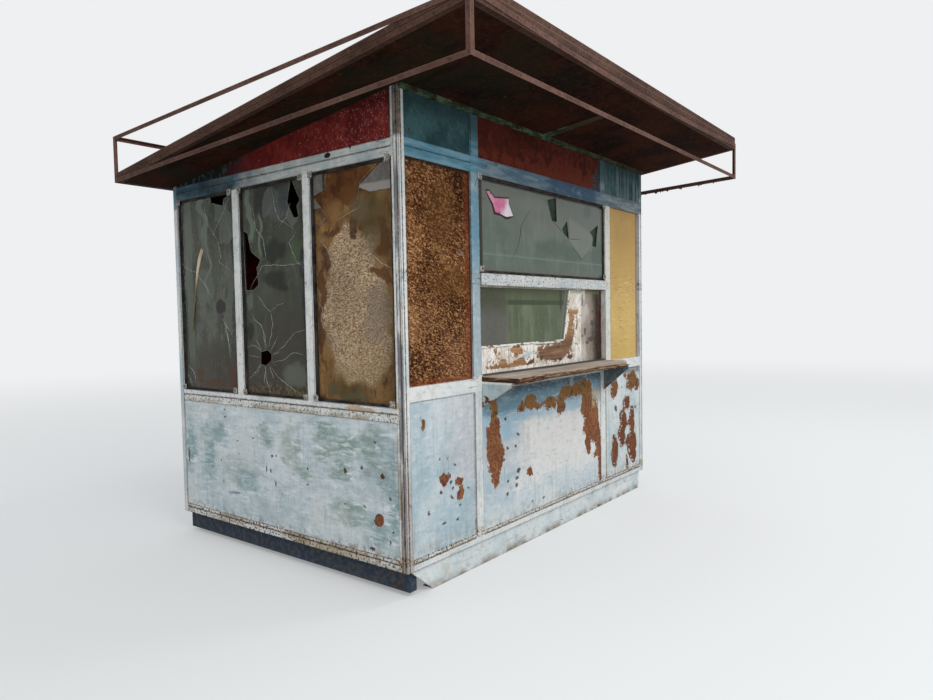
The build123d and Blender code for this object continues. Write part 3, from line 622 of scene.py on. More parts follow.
# The left wall's lower panel: green and teal smears, and dark or rusty marks
GREEN_SMEARS = [
    (0.65, 0.86, 0.085, 0.05), (0.45, 0.78, 0.11, 0.055, 8), (0.25, 0.86, 0.075, 0.065),
    (0.5, 0.62, 0.085, 0.045, 5), (0.45, 0.41, 0.11, 0.06), (0.95, 0.72, 0.075, 0.085),
    (0.87, 0.6, 0.07, 0.04), (0.62, 0.74, 0.08, 0.04, 12), (1.21, 0.78, 0.06, 0.05),
    (0.28, 0.7, 0.05, 0.06),
]
TEAL_SMEARS = [
    (1.835, 0.62, 0.06, 0.15), (1.5, 0.52, 0.13, 0.08), (0.14, 0.72, 0.055, 0.17),
    (0.23, 0.33, 0.075, 0.06), (0.09, 0.5, 0.03, 0.2), (1.7, 0.76, 0.06, 0.05), (2.08, 0.6, 0.05, 0.12),
    (1.35, 0.5, 0.06, 0.06),
]
SIDE_LOST = [
    (0.205, 0.402, 0.034, 0.036), (0.225, 0.385, 0.02, 0.02), (0.175, 0.645, 0.015, 0.014),
    (0.47, 0.64, 0.015, 0.015),
]
SIDE_DOTS = [
    (0.335, 0.675, 0.013, 0.009), (0.12, 0.53, 0.009, 0.01), (0.32, 0.46, 0.008, 0.006),
    (0.48, 0.45, 0.007, 0.006), (1.14, 0.65, 0.012, 0.01, 30), (1.1, 0.655, 0.008, 0.005),
    (1.2, 0.56, 0.006, 0.025), (1.158, 0.555, 0.005, 0.012), (1.11, 0.475, 0.006, 0.016),
    (1.5, 0.71, 0.01, 0.004), (1.64, 0.91, 0.009, 0.005), (1.7, 0.56, 0.008, 0.005),
    (1.49, 0.625, 0.007, 0.006), (1.33, 0.745, 0.01, 0.006), (0.8, 0.61, 0.007, 0.006),
    (0.805, 0.515, 0.008, 0.005), (1.805, 0.505, 0.008, 0.004), (0.23, 0.825, 0.011, 0.004),
    (0.125, 0.29, 0.006, 0.013), (0.265, 0.232, 0.022, 0.01), (0.105, 0.35, 0.009, 0.005),
    (1.635, 0.86, 0.01, 0.006), (0.475, 0.655, 0.01, 0.006), (2.095, 0.56, 0.012, 0.05),
]


def side_panel_paint(name, shift):
    m = Finish(name)
    smear = m.noise(3.4, stretch=(1, 0.7, 1.6), shift=shift, warp=0.4)
    stroke = m.noise(15, stretch=(1, 0.4, 1.3), shift=shift, warp=0.5)
    drawn = m.noise(40, stretch=(1, 0.25, 1.2), shift=shift)
    fray = m.noise(34, shift=(2, 6, 4))
    colour = smear.fade(0.38, 0.6, (0.65, 0.715, 0.745), (0.515, 0.605, 0.64))
    colour.over((0.36, 0.45, 0.47), stroke.rise(0.47, 0.36) * 0.4)
    fade = stroke.rise(0.3, 0.56) * 0.9
    m.tear(7, 0.32, (1, 0.35, 1.5))
    for rows, smeared in ((GREEN_SMEARS, (0.18, 0.285, 0.225)), (TEAL_SMEARS, (0.19, 0.32, 0.325))):
        spread = m.nearest(SIDE, rows, 0.25) + stroke.sway(2.2)
        colour.over(smeared, spread.rise(1.85, 0.75) * fade * 0.95)
    m.torn = m.place
    m.tear(60, 0.03)
    colour.over((0.78, 0.81, 0.82), drawn.rise(0.52, 0.66) * 0.55)
    colour.over((0.3, 0.37, 0.38), drawn.rise(0.45, 0.33) * 0.4)
    colour.over((0.8, 0.83, 0.84), stroke.rise(0.56, 0.66) * 0.75)
    blue = m.blots(SIDE, [(1.55, 0.36, 0.075, 0.008, 5)], fray, 1.2, 0.3)
    colour.over((0.06, 0.12, 0.165), blue * 0.75)
    lost = m.blots(SIDE, SIDE_LOST, fray, 0.7, 0.05, 0.2)
    tint, rough, height = aged(m, colour, chips=0.15, stains=0.35, worn=lost, cracks=0.15, mottle=0.4)
    spot = m.blots(SIDE, SIDE_DOTS, fray, 1.1, 0.16, 0.0)
    tint.over(smear.fade(0.45, 0.55, (0.035, 0.035, 0.033), (0.13, 0.075, 0.05)), spot * 0.9)
    dots = (
        m.specks(40, 0.14, 0.08, shift=shift)
        * m.noise(2.0, detail=2, rough=0.5, shift=shift).rise(0.45, 0.6)
    )
    tint.over((0.16, 0.12, 0.09), dots)
    low = m.z.rise(0.27, 0.2) * m.noise(20).rise(0.48, 0.58)
    tint.over((0.2, 0.14, 0.09), low * 0.6)
    return m.finish(tint, rough, height - spot, 0.0008)


def back_panel_paint():
    m = Finish("back_panel_paint")
    cloud = m.noise(1.9, shift=(4, 4, 4))
    colour = cloud.fade(0.38, 0.64, (0.42, 0.53, 0.59), (0.66, 0.7, 0.71))
    lost = m.noise(3.6, shift=(6, 1, 2)).rise(0.655, 0.675)
    tint, rough, height = aged(m, colour, chips=0.3, stains=0.6, worn=lost, cracks=0.2)
    tint.over(RUST_DARK, m.specks(16, 0.16, 0.1, shift=(1, 1, 1)))
    return m.finish(tint, rough, height, 0.0008)


def door_paint():
    m = Finish("door_paint")
    cloud = m.noise(2.2, shift=(2, 8, 1))
    colour = cloud.fade(0.38, 0.64, (0.24, 0.39, 0.48), (0.46, 0.56, 0.6))
    lost = m.noise(4.2, shift=(1, 1, 8)).rise(0.66, 0.68)
    tint, rough, height = aged(m, colour, chips=0.7, stains=0.6, worn=lost, cracks=0.3)
    return m.finish(tint, rough, height, 0.0008)


def skid_paint():
    m = Finish("skid_paint")
    cloud = m.noise(2.0)
    colour = cloud.fade(0.38, 0.62, (0.7, 0.74, 0.74), (0.56, 0.63, 0.65))
    soil = m.z.rise(0.06, 0.0) * m.noise(12, rough=0.5).rise(0.35, 0.6)
    colour.over((0.2, 0.16, 0.11), soil)
    lost = m.noise(6, stretch=(0.6, 1, 1.4), shift=(8, 1, 1)).rise(0.66, 0.68)
    tint, rough, height = aged(m, colour, 1.0, chips=0.9, stains=0.9, worn=lost, cracks=0.4)
    return m.finish(tint, rough, height, 0.0008)


# Lighter and duller places on the chipboard
CHIP_GLOW = [(0.11, 1.88, 0.075, 0.2), (0.09, 1.45, 0.045, 0.11), (0.51, 1.66, 0.07, 0.04)]
CHIP_DULL = [(0.165, 1.66, 0.05, 0.095), (0.25, 1.81, 0.065, 0.055), (0.16, 2.06, 0.05, 0.07)]


def chipboard():
    m = Finish("chipboard")
    value = None
    height = None
    for k, turn in enumerate(((0.0, -0.42, 0.2), (0.2, 0.9, 0.4))):
        flake = m.cells(115 + 40 * k, stretch=(0.62, 1.0, 1.9), shift=(k, 2 * k, k), turn=turn)
        pick = m.picks(flake)[k]
        crisp = pick * 0.45 + pick.rise(0.66, 0.74) * 0.72
        value = crisp if value is None else value * 0.6 + crisp * 0.4
        height = flake if height is None else height + flake
    fray = m.noise(12, shift=(4, 0, 4))
    shred = m.noise(75, stretch=(0.6, 1, 1.5), shift=(1, 0, 2))
    tall = m.noise(3.2, shift=(2, 2, 5))
    lower = (m.z + fray * 0.2).rise(1.78, 1.5)
    m.tear(16, 0.1)
    gain = 0.6 + lower * 0.1
    light = 0.104 + value * gain
    light += shred.sway(0.6)
    light += tall.sway(0.6)
    glow = m.blots(FRONT, CHIP_GLOW, fray, 1.6, 0.5)
    light += glow * 0.16
    dull = m.blots(FRONT, CHIP_DULL, fray, 1.4, 0.4)
    light -= dull * 0.07
    corner = m.z.rise(1.96, 2.16) * (m.x + fray * 0.1).rise(0.4, 0.55)
    light -= corner * 0.16
    colour = light.ramp(
        (0.14, (0.018, 0.007, 0.004)), (0.3, (0.072, 0.025, 0.009)), (0.46, (0.155, 0.06, 0.02)),
        (0.62, (0.27, 0.12, 0.045)), (0.86, (0.56, 0.32, 0.15)),
    )
    olive = m.blots(FRONT, [(0.34, 2.08, 0.13, 0.17), (0.42, 1.69, 0.19, 0.09)], fray, 1.2, 0.5)
    colour.over((0.13, 0.058, 0.015), olive * 0.4)
    streak = m.blots(FRONT, [(0.32, 1.86, 0.07, 0.018, -45)], fray, 1.0, 0.5)
    colour.over((0.26, 0.135, 0.045), streak * 0.5)
    pink = lower * tall.rise(0.44, 0.56)
    colour.over((0.23, 0.105, 0.06), pink * 0.22)
    red = m.x.rise(0.525, 0.575) | m.z.rise(1.175, 1.145)
    colour.over((0.2, 0.04, 0.014), red * 0.45)
    edge = m.z.rise(2.312, 2.332) | m.x.rise(0.58, 0.592) | m.x.rise(0.06, 0.05)
    colour.over((0.018, 0.012, 0.01), edge * 0.75)
    mark = m.blots(FRONT, [(0.515, 1.862, 0.02, 0.009)], fray, 0.8, 0.3)
    colour.over((0.16, 0.18, 0.22), mark * 0.6)
    return m.finish(colour, 0.85, height + shred, 0.0018, shine=0.06)


def board_coat(m, cloud, fine, fray):
    """The coat that is left round the board's bare middle, from rust brown to olive."""
    coat = cloud.fade(0.42, 0.58, (0.12, 0.044, 0.015), (0.29, 0.155, 0.055))
    drip = m.noise(20, stretch=(1, 1, 0.35), shift=(0, 3, 3))
    coat.over((0.058, 0.024, 0.01), drip.rise(0.52, 0.63) * 0.65)
    coat.over((0.36, 0.22, 0.1), drip.rise(0.46, 0.37) * 0.45)
    olive = m.blots(SIDE, BOARD_OLIVE, fray, 1.6, 0.4)
    coat.over((0.115, 0.078, 0.026), olive * 0.8)
    coat.over((0.05, 0.024, 0.01), fine.rise(0.45, 0.32) * 0.45)
    return coat


# The board behind the left wall's near window: olive coat, bare chipboard and brown bands
BOARD_OLIVE = [(0.45, 1.11, 0.15, 0.075), (0.22, 2.06, 0.14, 0.12), (0.13, 1.32, 0.04, 0.1)]
BOARD_BARE = [
    (0.38, 1.56, 0.285, 0.26), (0.42, 1.8, 0.175, 0.17), (0.43, 1.92, 0.11, 0.1), (0.36, 1.3, 0.215, 0.17),
    (0.3, 1.84, 0.08, 0.11), (0.2, 1.33, 0.1, 0.11),
]
BOARD_BROWN = [
    (0.44, 2.24, 0.2, 0.1), (0.3, 2.26, 0.12, 0.06), (0.56, 1.99, 0.08, 0.028), (0.6, 1.84, 0.036, 0.06),
    (0.645, 1.7, 0.026, 0.13), (0.665, 1.54, 0.02, 0.1), (0.18, 1.735, 0.115, 0.024, -32),
    (0.375, 1.99, 0.03, 0.05), (0.15, 1.93, 0.05, 0.11), (0.66, 1.38, 0.03, 0.08),
]


def window_board():
    m = Finish("window_board")
    fray = m.noise(11, shift=(3, 1, 2))
    cloud = m.noise(4.5, shift=(1, 1, 1))
    m.tear(9, 0.13)
    m.tear(40, 0.03)
    fine = m.noise(95, rough=0.72, stretch=(1, 0.8, 1.3))
    grain = m.cells(125, stretch=(1, 0.8, 1.9), turn=(0.25, 0, 0))
    pick = m.picks(grain)[0]
    blend = pick * 0.42 + fine * 0.58
    speck = blend.ramp(
        (0.26, (0.12, 0.064, 0.034)), (0.4, (0.34, 0.215, 0.12)), (0.56, (0.55, 0.385, 0.235)),
        (0.76, (0.82, 0.64, 0.44)),
    )
    grey = m.blots(SIDE, [(0.19, 1.6, 0.11, 0.08), (0.2, 1.48, 0.1, 0.11)], fray, 1.4, 0.5)
    speck.over((0.215, 0.175, 0.145), grey * 0.6)
    low = (m.z + cloud * 0.2).rise(1.5, 1.28)
    speck.over((0.38, 0.255, 0.12), low * 0.4)
    coat = board_coat(m, cloud, fine, fray)
    bare = m.nearest(SIDE, BOARD_BARE, 0.25)
    level = bare + fray.sway(0.55)
    open_grain = level.rise(1.1, 0.92)
    colour = m.mix(open_grain, coat, speck)
    rim = level.rise(0.84, 1.0) * level.rise(1.22, 1.06)
    colour.over((0.3, 0.19, 0.095), rim * 0.4)
    # Dark bands round the upper part, and one that crosses the right side
    brown = m.blots(SIDE, BOARD_BROWN, fray, 0.9, 0.22)
    colour.over(cloud.fade(0.42, 0.58, (0.062, 0.02, 0.009), (0.115, 0.044, 0.016)), brown * 0.88)
    warm = m.y.rise(0.2, 0.12) * 0.35
    colour.over((0.115, 0.062, 0.026), warm)
    tan = m.blots(SIDE, [(0.54, 2.11, 0.08, 0.08), (0.48, 2.07, 0.06, 0.04)], fray, 1.0, 0.4)
    colour.over((0.24, 0.125, 0.048), tan * 0.7)
    hazel = m.blots(SIDE, [(0.33, 2.1, 0.07, 0.08), (0.25, 1.91, 0.05, 0.08)], fray, 1.2, 0.4)
    colour.over((0.185, 0.135, 0.08), hazel * 0.55)
    moss = m.blots(SIDE, [(0.59, 1.095, 0.045, 0.03), (0.4, 1.065, 0.15, 0.014)], fray, 1.2, 0.3)
    colour.over((0.105, 0.115, 0.07), moss * 0.65)
    height = grain * open_grain
    return m.finish(colour, 0.8, height, 0.0014, shine=0.06)


def ochre_board():
    m = Finish("ochre_board")
    grain = m.noise(26, stretch=(0.35, 1, 2.2))
    cloud = m.noise(2.4, rough=0.5)
    colour = m.z.fade(2.35, 1.25, (0.44, 0.28, 0.105), (0.56, 0.385, 0.135))
    colour.over((0.42, 0.27, 0.1), grain.rise(0.45, 0.66) * 0.4)
    colour.over((0.66, 0.46, 0.18), cloud.rise(0.45, 0.65) * 0.35)
    worm = m.noise(34, detail=2, rough=0.5, stretch=(0.3, 1, 2.6), shift=(0, 0, 6))
    mark = worm.rise(0.66, 0.7) * m.z.rise(1.95, 1.7)
    colour.over((0.26, 0.155, 0.06), mark * 0.5)
    scratch = m.noise(
        9, detail=3, rough=0.5, stretch=(0.5, 1, 2.2), shift=(0, 0, 2), warp=1.2
    ).band(0.5, 0.512, 0.004)
    colour.over((0.76, 0.62, 0.36), scratch * m.z.band(1.3, 1.8, 0.1) * 0.7)
    scuff = m.noise(16, stretch=(1, 1, 0.4), shift=(4, 0, 0)).rise(0.62, 0.7)
    colour.over((0.3, 0.19, 0.08), scuff * 0.45)
    edge = m.x.rise(2.88, 2.902) | m.x.rise(2.425, 2.405) | m.z.rise(2.325, 2.338)
    colour.over((0.12, 0.055, 0.024), edge * 0.8)
    return m.finish(colour, 0.72, grain, 0.0006, shine=0.06)


def teal_frieze():
    m = Finish("teal_frieze")
    streak = m.noise(22, stretch=(1, 1, 0.07))
    cloud = m.noise(4, shift=(1, 0, 1))
    colour = cloud.fade(0.38, 0.62, (0.02, 0.053, 0.059), (0.054, 0.12, 0.132))
    right = m.x.rise(1.5, 2.0)
    colour.over((0.16, 0.22, 0.24), streak.rise(0.48, 0.62) * right * 0.65)
    strips = m.x.band(2.525, 2.555, 0.012) | m.x.band(2.6, 2.615, 0.01) | m.x.band(2.86, 2.88, 0.01)
    colour.over((0.3, 0.33, 0.32), strips * 0.35)
    colour.over((0.22, 0.19, 0.12), m.x.band(2.68, 2.705, 0.01) * 0.4)
    grain = m.noise(40)
    colour.over((0.02, 0.03, 0.03), grain.rise(0.54, 0.66) * 0.5)
    scrape = grain.rise(0.4, 0.33) * cloud.rise(0.5, 0.58)
    colour.over((0.17, 0.24, 0.24), scrape * 0.6)
    rust = m.noise(22, shift=(8, 2, 2)).rise(0.63, 0.67)
    colour.over((0.045, 0.024, 0.018), rust * 0.8)
    # Darker towards the top: painted shade under the roof
    dark = (m.z + cloud * 0.15).rise(2.64, 2.74)
    colour.over((0.014, 0.028, 0.028), dark * 0.55)
    return m.finish(colour, 0.65, grain + streak, 0.0008, shine=0.05)


def red_frieze():
    m = Finish("red_frieze")
    cloud = m.noise(4, shift=(1, 3, 1))
    peel = m.noise(7, stretch=(0.6, 1, 1.6))
    fine = m.noise(80)
    colour = cloud.fade(0.38, 0.62, (0.044, 0.009, 0.005), (0.082, 0.015, 0.009))
    low = m.z.rise(2.6, 2.44) * 0.14 + m.x.rise(1.0, 1.9) * 0.1
    bright = (low + m.noise(20, rough=0.72, shift=(2, 2, 2))).rise(0.53, 0.66)
    colour.over((0.17, 0.031, 0.016), bright * 0.6)
    # Torn right end: bare board, dark green and blue
    end = m.x + peel.sway(0.55)
    end -= (m.z - 2.5) * 0.9
    gone = end.rise(2.13, 2.16)
    under = cloud.fade(0.44, 0.56, (0.03, 0.06, 0.08), (0.05, 0.036, 0.04))
    colour.over(fine.fade(0.55, 0.65, under, (0.2, 0.22, 0.22)), gone)
    colour.over((0.03, 0.008, 0.006), fine.rise(0.52, 0.68) * 0.5)
    dust = m.noise(16, stretch=(0.4, 1, 2)).rise(0.6, 0.68)
    colour.over((0.13, 0.045, 0.03), dust * 0.2)
    return m.finish(colour, 0.45 + peel * 0.3, fine + peel, 0.0008, shine=0.05)


def scratched_frieze():
    m = Finish("scratched_frieze")
    cloud = m.noise(5, shift=(1, 3, 1))
    colour = cloud.fade(0.38, 0.62, (0.14, 0.015, 0.014), (0.225, 0.027, 0.022))
    rub = m.noise(30, stretch=(1, 1, 0.6), shift=(2, 0, 0))
    colour.over((0.055, 0.007, 0.007), rub.rise(0.48, 0.62) * 0.5)
    # Darker towards the top: painted shade under the roof
    colour.over((0.04, 0.006, 0.006), m.z.rise(2.58, 2.66) * 0.55)
    share = m.y.rise(1.4, 0.1) * 0.9
    share += cloud.sway(0.7)
    for k, (tilt, scale) in enumerate(((0.0, 165), (0.3, 190), (-0.25, 150), (1.35, 130))):
        line = m.specks(scale, 0.3, share, shift=(0, 2 * k, k), stretch=(1, 1, 0.2), turn=(tilt, 0, 0))
        colour.over((0.46, 0.25, 0.23), line * 0.6)
    # Towards the back end the red gives way to near-black and dark teal: painted shade under the roof
    dark = (m.y + m.noise(4) * 0.6).rise(1.45, 1.95)
    old = rub.fade(0.5, 0.62, (0.012, 0.012, 0.011), (0.034, 0.075, 0.08))
    colour.over(old, dark)
    corner = (m.y + rub * 0.06).rise(0.115, 0.095)
    colour.over(m.z.fade(2.56, 2.48, (0.03, 0.016, 0.014), (0.2, 0.115, 0.06)), corner * 0.8)
    return m.finish(colour, 0.55, rub, 0.0006, shine=0.06)


def soffit():
    m = Finish("soffit")
    cloud = m.noise(2.6)
    grain = m.noise(34, rough=0.74)
    # The colours are kept very dark: the sheets' own rusty brown with painted shade under the roof
    colour = cloud.fade(0.36, 0.6, (0.014, 0.008, 0.0062), (0.044, 0.0145, 0.0085))
    colour.over((0.08, 0.028, 0.014), grain.rise(0.5, 0.66) * 0.6)
    colour.over((0.0075, 0.005, 0.0045), grain.rise(0.45, 0.34) * 0.5)
    green = m.x.rise(1.2, 0.3) * m.noise(3.4, rough=0.5, shift=(7, 1, 1)).rise(0.44, 0.56)
    colour.over((0.017, 0.019, 0.011), green * 0.6)
    drip = m.noise(9, stretch=(1, 0.25, 1), shift=(5, 5, 5))
    colour.over((0.009, 0.006, 0.005), drip.rise(0.54, 0.66) * 0.5)
    bloom = m.noise(16, shift=(2, 2, 9)).rise(0.64, 0.7)
    colour.over((0.115, 0.052, 0.028), bloom * 0.55)
    return m.finish(colour, 0.9, grain, 0.0014, shine=0.02)


def rusty_steel(name, dark, mid, warm, depth=0.0008):
    """Steel with its paint long gone: brown, blotched and pitted."""
    m = Finish(name)
    grain = m.noise(42, rough=0.72)
    cloud = m.noise(5, stretch=(0.6, 0.6, 1))
    colour = cloud.fade(0.36, 0.6, dark, mid)
    colour.over(tuple(0.4 * c for c in dark), grain.rise(0.5, 0.66) * 0.65)
    colour.over(warm, grain.rise(0.44, 0.32) * 0.6)
    edge = m.edges(0.006)
    colour.over(tuple(1.2 * c for c in warm), edge * grain.rise(0.4, 0.54))
    return m.finish(colour, 0.75, grain, depth, shine=0.06)


# The roof sheet's lapped seams, from front to back
SHEET_LOW, SHEET_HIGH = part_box("roof_sheet")
SEAMS = 3
SEAM_COLUMNS = [SHEET_LOW.x + (SHEET_HIGH.x - SHEET_LOW.x) * k / (SEAMS + 1) for k in range(1, SEAMS + 1)]


def roof_sheet():
    m = Finish("roof_sheet")
    grain = m.noise(28)
    cloud = m.noise(1.8, rough=0.5)
    colour = cloud.fade(0.36, 0.62, (0.085, 0.05, 0.038), (0.17, 0.105, 0.075))
    streak = m.noise(12, rough=0.5, stretch=(1, 0.12, 1), shift=(2, 0, 0))
    colour.over((0.23, 0.115, 0.055), streak.rise(0.52, 0.7) * 0.5)
    colour.over((0.045, 0.03, 0.024), grain.rise(0.56, 0.72) * 0.5)
    for x in SEAM_COLUMNS:
        seam = x - CORNER.x
        beside = m.x.band(seam - 0.03, seam - 0.014) | m.x.band(seam + 0.014, seam + 0.03)
        colour.over((0.03, 0.019, 0.015), beside * grain.rise(0.34, 0.46) * 0.75)
    return m.finish(colour, 0.75, grain + streak, 0.001, shine=0.1)


def roof_core():
    m = Finish("roof_core")
    grain = m.noise(30, rough=0.5, stretch=(0.2, 0.2, 2))
    colour = grain.fade(0.4, 0.65, (0.03, 0.018, 0.012), (0.075, 0.05, 0.034))
    return m.finish(colour, 0.85, grain, 0.0008, shine=0.04)


def soffit_green():
    m = Finish("soffit_green")
    grain = m.noise(34, stretch=(0.3, 0.3, 1))
    green = grain.fade(0.4, 0.62, (0.03, 0.05, 0.028), (0.105, 0.15, 0.085))
    far = m.y.rise(-0.16, -0.24) * 0.85
    colour = m.mix(m.x.rise(1.5, 2.3) * 0.6 | far, green, (0.05, 0.03, 0.018))
    lost = m.noise(13, shift=(2, 2, 2)).rise(0.54, 0.6)
    colour.over((0.032, 0.017, 0.01), lost * 0.85)
    return m.finish(colour, 0.8, grain, 0.0006, shine=0.04)


def dark_frame():
    m = Finish("dark_frame")
    grain = m.noise(50)
    cloud = m.noise(9, rough=0.5)
    colour = cloud.fade(0.42, 0.62, (0.014, 0.014, 0.014), (0.046, 0.04, 0.034))
    edge = m.edges(0.005) * grain.rise(0.46, 0.56)
    colour.over((0.2, 0.165, 0.13), edge * 0.65)
    return m.finish(colour, 0.7, grain, 0.0006, shine=0.08)


def lining():
    m = Finish("hardboard_lining")
    grain = m.noise(22)
    cloud = m.noise(2.6, rough=0.5)
    colour = cloud.fade(0.42, 0.56, (0.15, 0.024, 0.024), (0.5, 0.04, 0.055))
    colour.over((0.1, 0.06, 0.045), grain.rise(0.5, 0.66) * 0.5)
    return m.finish(colour, 0.8, grain, 0.0006, shine=0.06)


def floor_wood():
    m = Finish("floor_wood")
    grain = m.noise(18, stretch=(0.12, 2.0, 1))
    colour = grain.ramp(
        (0.3, (0.075, 0.05, 0.032)), (0.52, (0.16, 0.115, 0.075)), (0.75, (0.26, 0.2, 0.14))
    )
    dust = m.noise(5, rough=0.5).rise(0.45, 0.62)
    colour.over((0.2, 0.18, 0.15), dust * 0.4)
    return m.finish(colour, 0.85, grain, 0.001, shine=0.06)


def base_steel():
    m = Finish("base_steel")
    grain = m.noise(30)
    colour = grain.fade(0.42, 0.62, (0.035, 0.052, 0.08), (0.08, 0.08, 0.08))
    lost = m.noise(9).rise(0.62, 0.66)
    colour.over((0.085, 0.036, 0.022), lost * 0.8)
    return m.finish(colour, 0.8, grain, 0.0008, shine=0.06)


def hardware():
    m = Finish("hardware")
    grain = m.noise(60)
    colour = grain.fade(0.42, 0.62, (0.075, 0.06, 0.052), (0.17, 0.085, 0.05))
    edge = m.edges(0.004)
    colour.over((0.3, 0.27, 0.24), edge * 0.4)
    return m.finish(colour, 0.55, grain, 0.0005)


def bracket_paint():
    m = Finish("bracket_paint")
    cloud = m.noise(9)
    colour = cloud.fade(0.4, 0.6, (0.46, 0.56, 0.58), (0.3, 0.42, 0.47))
    colour.over((0.78, 0.78, 0.74), m.z.rise(1.092, 1.1))
    # Painted shade: the right bracket is darkened as if in the shelf's shadow
    painted_bracket_shade = cloud.fade(0.42, 0.58, (0.05, 0.095, 0.12), (0.018, 0.028, 0.036))
    colour.over(painted_bracket_shade, m.x.rise(1.9, 2.1) * 0.9)
    lost = m.noise(14, rough=0.5).rise(0.6, 0.63)
    tint, rough, height = aged(m, colour, chips=1.0, stains=0.8, worn=lost, cracks=0.3, mottle=0.3)
    return m.finish(tint, rough, height, 0.0006)


def sash_wood(m, grain, fray):
    tan = grain.ramp((0.32, (0.16, 0.075, 0.035)), (0.5, (0.34, 0.185, 0.09)), (0.7, (0.5, 0.32, 0.17)))
    brown = grain.ramp(
        (0.32, (0.09, 0.048, 0.03)), (0.5, (0.215, 0.12, 0.072)), (0.72, (0.34, 0.215, 0.135))
    )
    wood = m.mix(m.x.rise(1.3, 1.34) * m.z.rise(1.4, 1.3), tan, brown)
    wet = m.blots(FRONT, SASH_WET, fray, 1.2, 0.4)
    wood.over((0.085, 0.042, 0.026), wet * 0.75)
    return wood


def sash_coat(m, fray):
    paint = m.noise(9).fade(0.42, 0.6, (0.86, 0.83, 0.78), (0.66, 0.6, 0.52))
    blue = m.blots(FRONT, [(1.2, 1.238, 0.09, 0.022, 10)], fray, 1.6, 0.4)
    paint.over((0.4, 0.5, 0.55), blue * 0.6)
    return paint


# The hatch sash: wet wood, bare wood and split paint
SASH_WET = [(1.38, 1.195, 0.05, 0.03), (1.52, 1.178, 0.08, 0.01), (1.26, 1.19, 0.05, 0.014)]
SASH_BARE = [
    (1.105, 1.272, 0.075, 0.03), (1.06, 1.186, 0.26, 0.02), (0.95, 1.21, 0.04, 0.024),
    (1.13, 1.205, 0.08, 0.02), (0.855, 1.272, 0.014, 0.022), (1.56, 1.242, 0.225, 0.062),
    (1.745, 1.3, 0.075, 0.07), (1.8, 1.37, 0.045, 0.08), (1.845, 1.518, 0.075, 0.03),
    (1.815, 1.45, 0.03, 0.06), (1.79, 1.2, 0.035, 0.02), (1.9, 1.44, 0.014, 0.04),
]
SASH_SPLIT = [(1.84, 1.44, 0.08, 0.075), (1.2, 1.25, 0.11, 0.04), (0.9, 1.24, 0.12, 0.05)]


def sash_paint():
    m = Finish("sash_paint")
    grain = m.noise(24, stretch=(0.15, 1, 2.4))
    tone = m.noise(5, rough=0.5, shift=(2, 0, 2))
    fray = m.noise(30, stretch=(0.9, 1, 1.2))
    m.tear(14, 0.1)
    m.tear(60, 0.03)
    wood = sash_wood(m, grain, fray)
    paint = sash_coat(m, fray)
    level = m.nearest(FRONT, SASH_BARE, 0.2)
    rim = level + fray.sway(1.3)
    strip = m.x.band(1.302, 1.334, 0.003) * m.z.rise(1.31, 1.29)
    foot = m.z.rise(1.172, 1.166)
    lost = rim.rise(1.05, 0.97) * (1 - strip) * (1 - foot)
    split_zone = m.blots(FRONT, SASH_SPLIT, fray, 1.2, 0.4)
    small = (m.noise(44, shift=(5, 5, 1)) + split_zone * 0.06).rise(0.615, 0.635)
    lost = lost | small
    colour = m.mix(lost, paint, wood)
    shade = rim.rise(1.2, 1.04) * (1 - lost)
    colour.over((0.46, 0.36, 0.26), shade * 0.35)
    mitre = m.x.band(1.003, 1.008, 0.0015) | m.x.band(1.294, 1.298, 0.0015)
    colour.over((0.04, 0.02, 0.014), mitre * m.z.rise(1.31, 1.29) * 0.85)
    top = m.z.band(1.296, 1.304, 0.002) * m.x.band(1.32, 1.66, 0.02)
    colour.over((0.06, 0.034, 0.024), top * 0.75)
    split = m.cells(17, stretch=(1.4, 1, 0.35), feature="DISTANCE_TO_EDGE", shift=(1, 0, 4))
    crack = split.rise(0.034, 0.006) * tone.rise(0.44, 0.52)
    colour.over((0.125, 0.075, 0.05), crack * 0.7)
    moss = m.z.rise(1.64, 1.668) * grain.rise(0.38, 0.52)
    colour.over((0.15, 0.165, 0.07), moss * 0.6)
    height = grain * 0.3 - (lost | crack)
    return m.finish(colour, 0.7, height, 0.0012, shine=0.08)


# Dark marks on the board beside the hatch glass
BOARD_MARKS = [
    (2.025, 1.37, 0.014, 0.03), (1.985, 1.34, 0.02, 0.012), (2.135, 1.43, 0.026, 0.018, 20),
    (2.11, 1.31, 0.045, 0.02), (2.18, 1.3, 0.026, 0.014), (2.06, 1.29, 0.026, 0.01),
    (1.99, 1.6, 0.012, 0.045), (2.15, 1.52, 0.02, 0.012),
]


def white_board():
    m = Finish("white_board")
    cloud = m.noise(8, stretch=(1, 1, 0.5))
    fray = m.noise(30)
    colour = cloud.fade(0.4, 0.6, (0.54, 0.485, 0.43), (0.36, 0.31, 0.265))
    # Darker and darker towards the right end: painted shade of the recess beside the mullion; a lighter
    # strip at the very end
    far = m.x + (cloud - 0.42) * 0.24
    m.tear(30, 0.06)
    colour.over((0.27, 0.23, 0.195), far.rise(2.03, 2.13))
    colour.over((0.085, 0.062, 0.05), far.rise(2.13, 2.2) * 0.85)
    colour.over((0.032, 0.022, 0.017), far.rise(2.19, 2.24) * 0.9)
    colour.over((0.12, 0.09, 0.075), far.rise(2.275, 2.295) * 0.5)
    marks = m.blots(FRONT, BOARD_MARKS, fray, 1.3, 0.2)
    colour.over((0.075, 0.055, 0.045), marks * 0.75)
    stain = fray.rise(0.58, 0.66)
    colour.over((0.16, 0.125, 0.1), stain * 0.55)
    moss = m.z.rise(1.64, 1.665) * cloud.rise(0.4, 0.52)
    colour.over((0.14, 0.155, 0.07), moss * 0.7)
    return m.finish(colour, 0.8, cloud, 0.0008, shine=0.06)


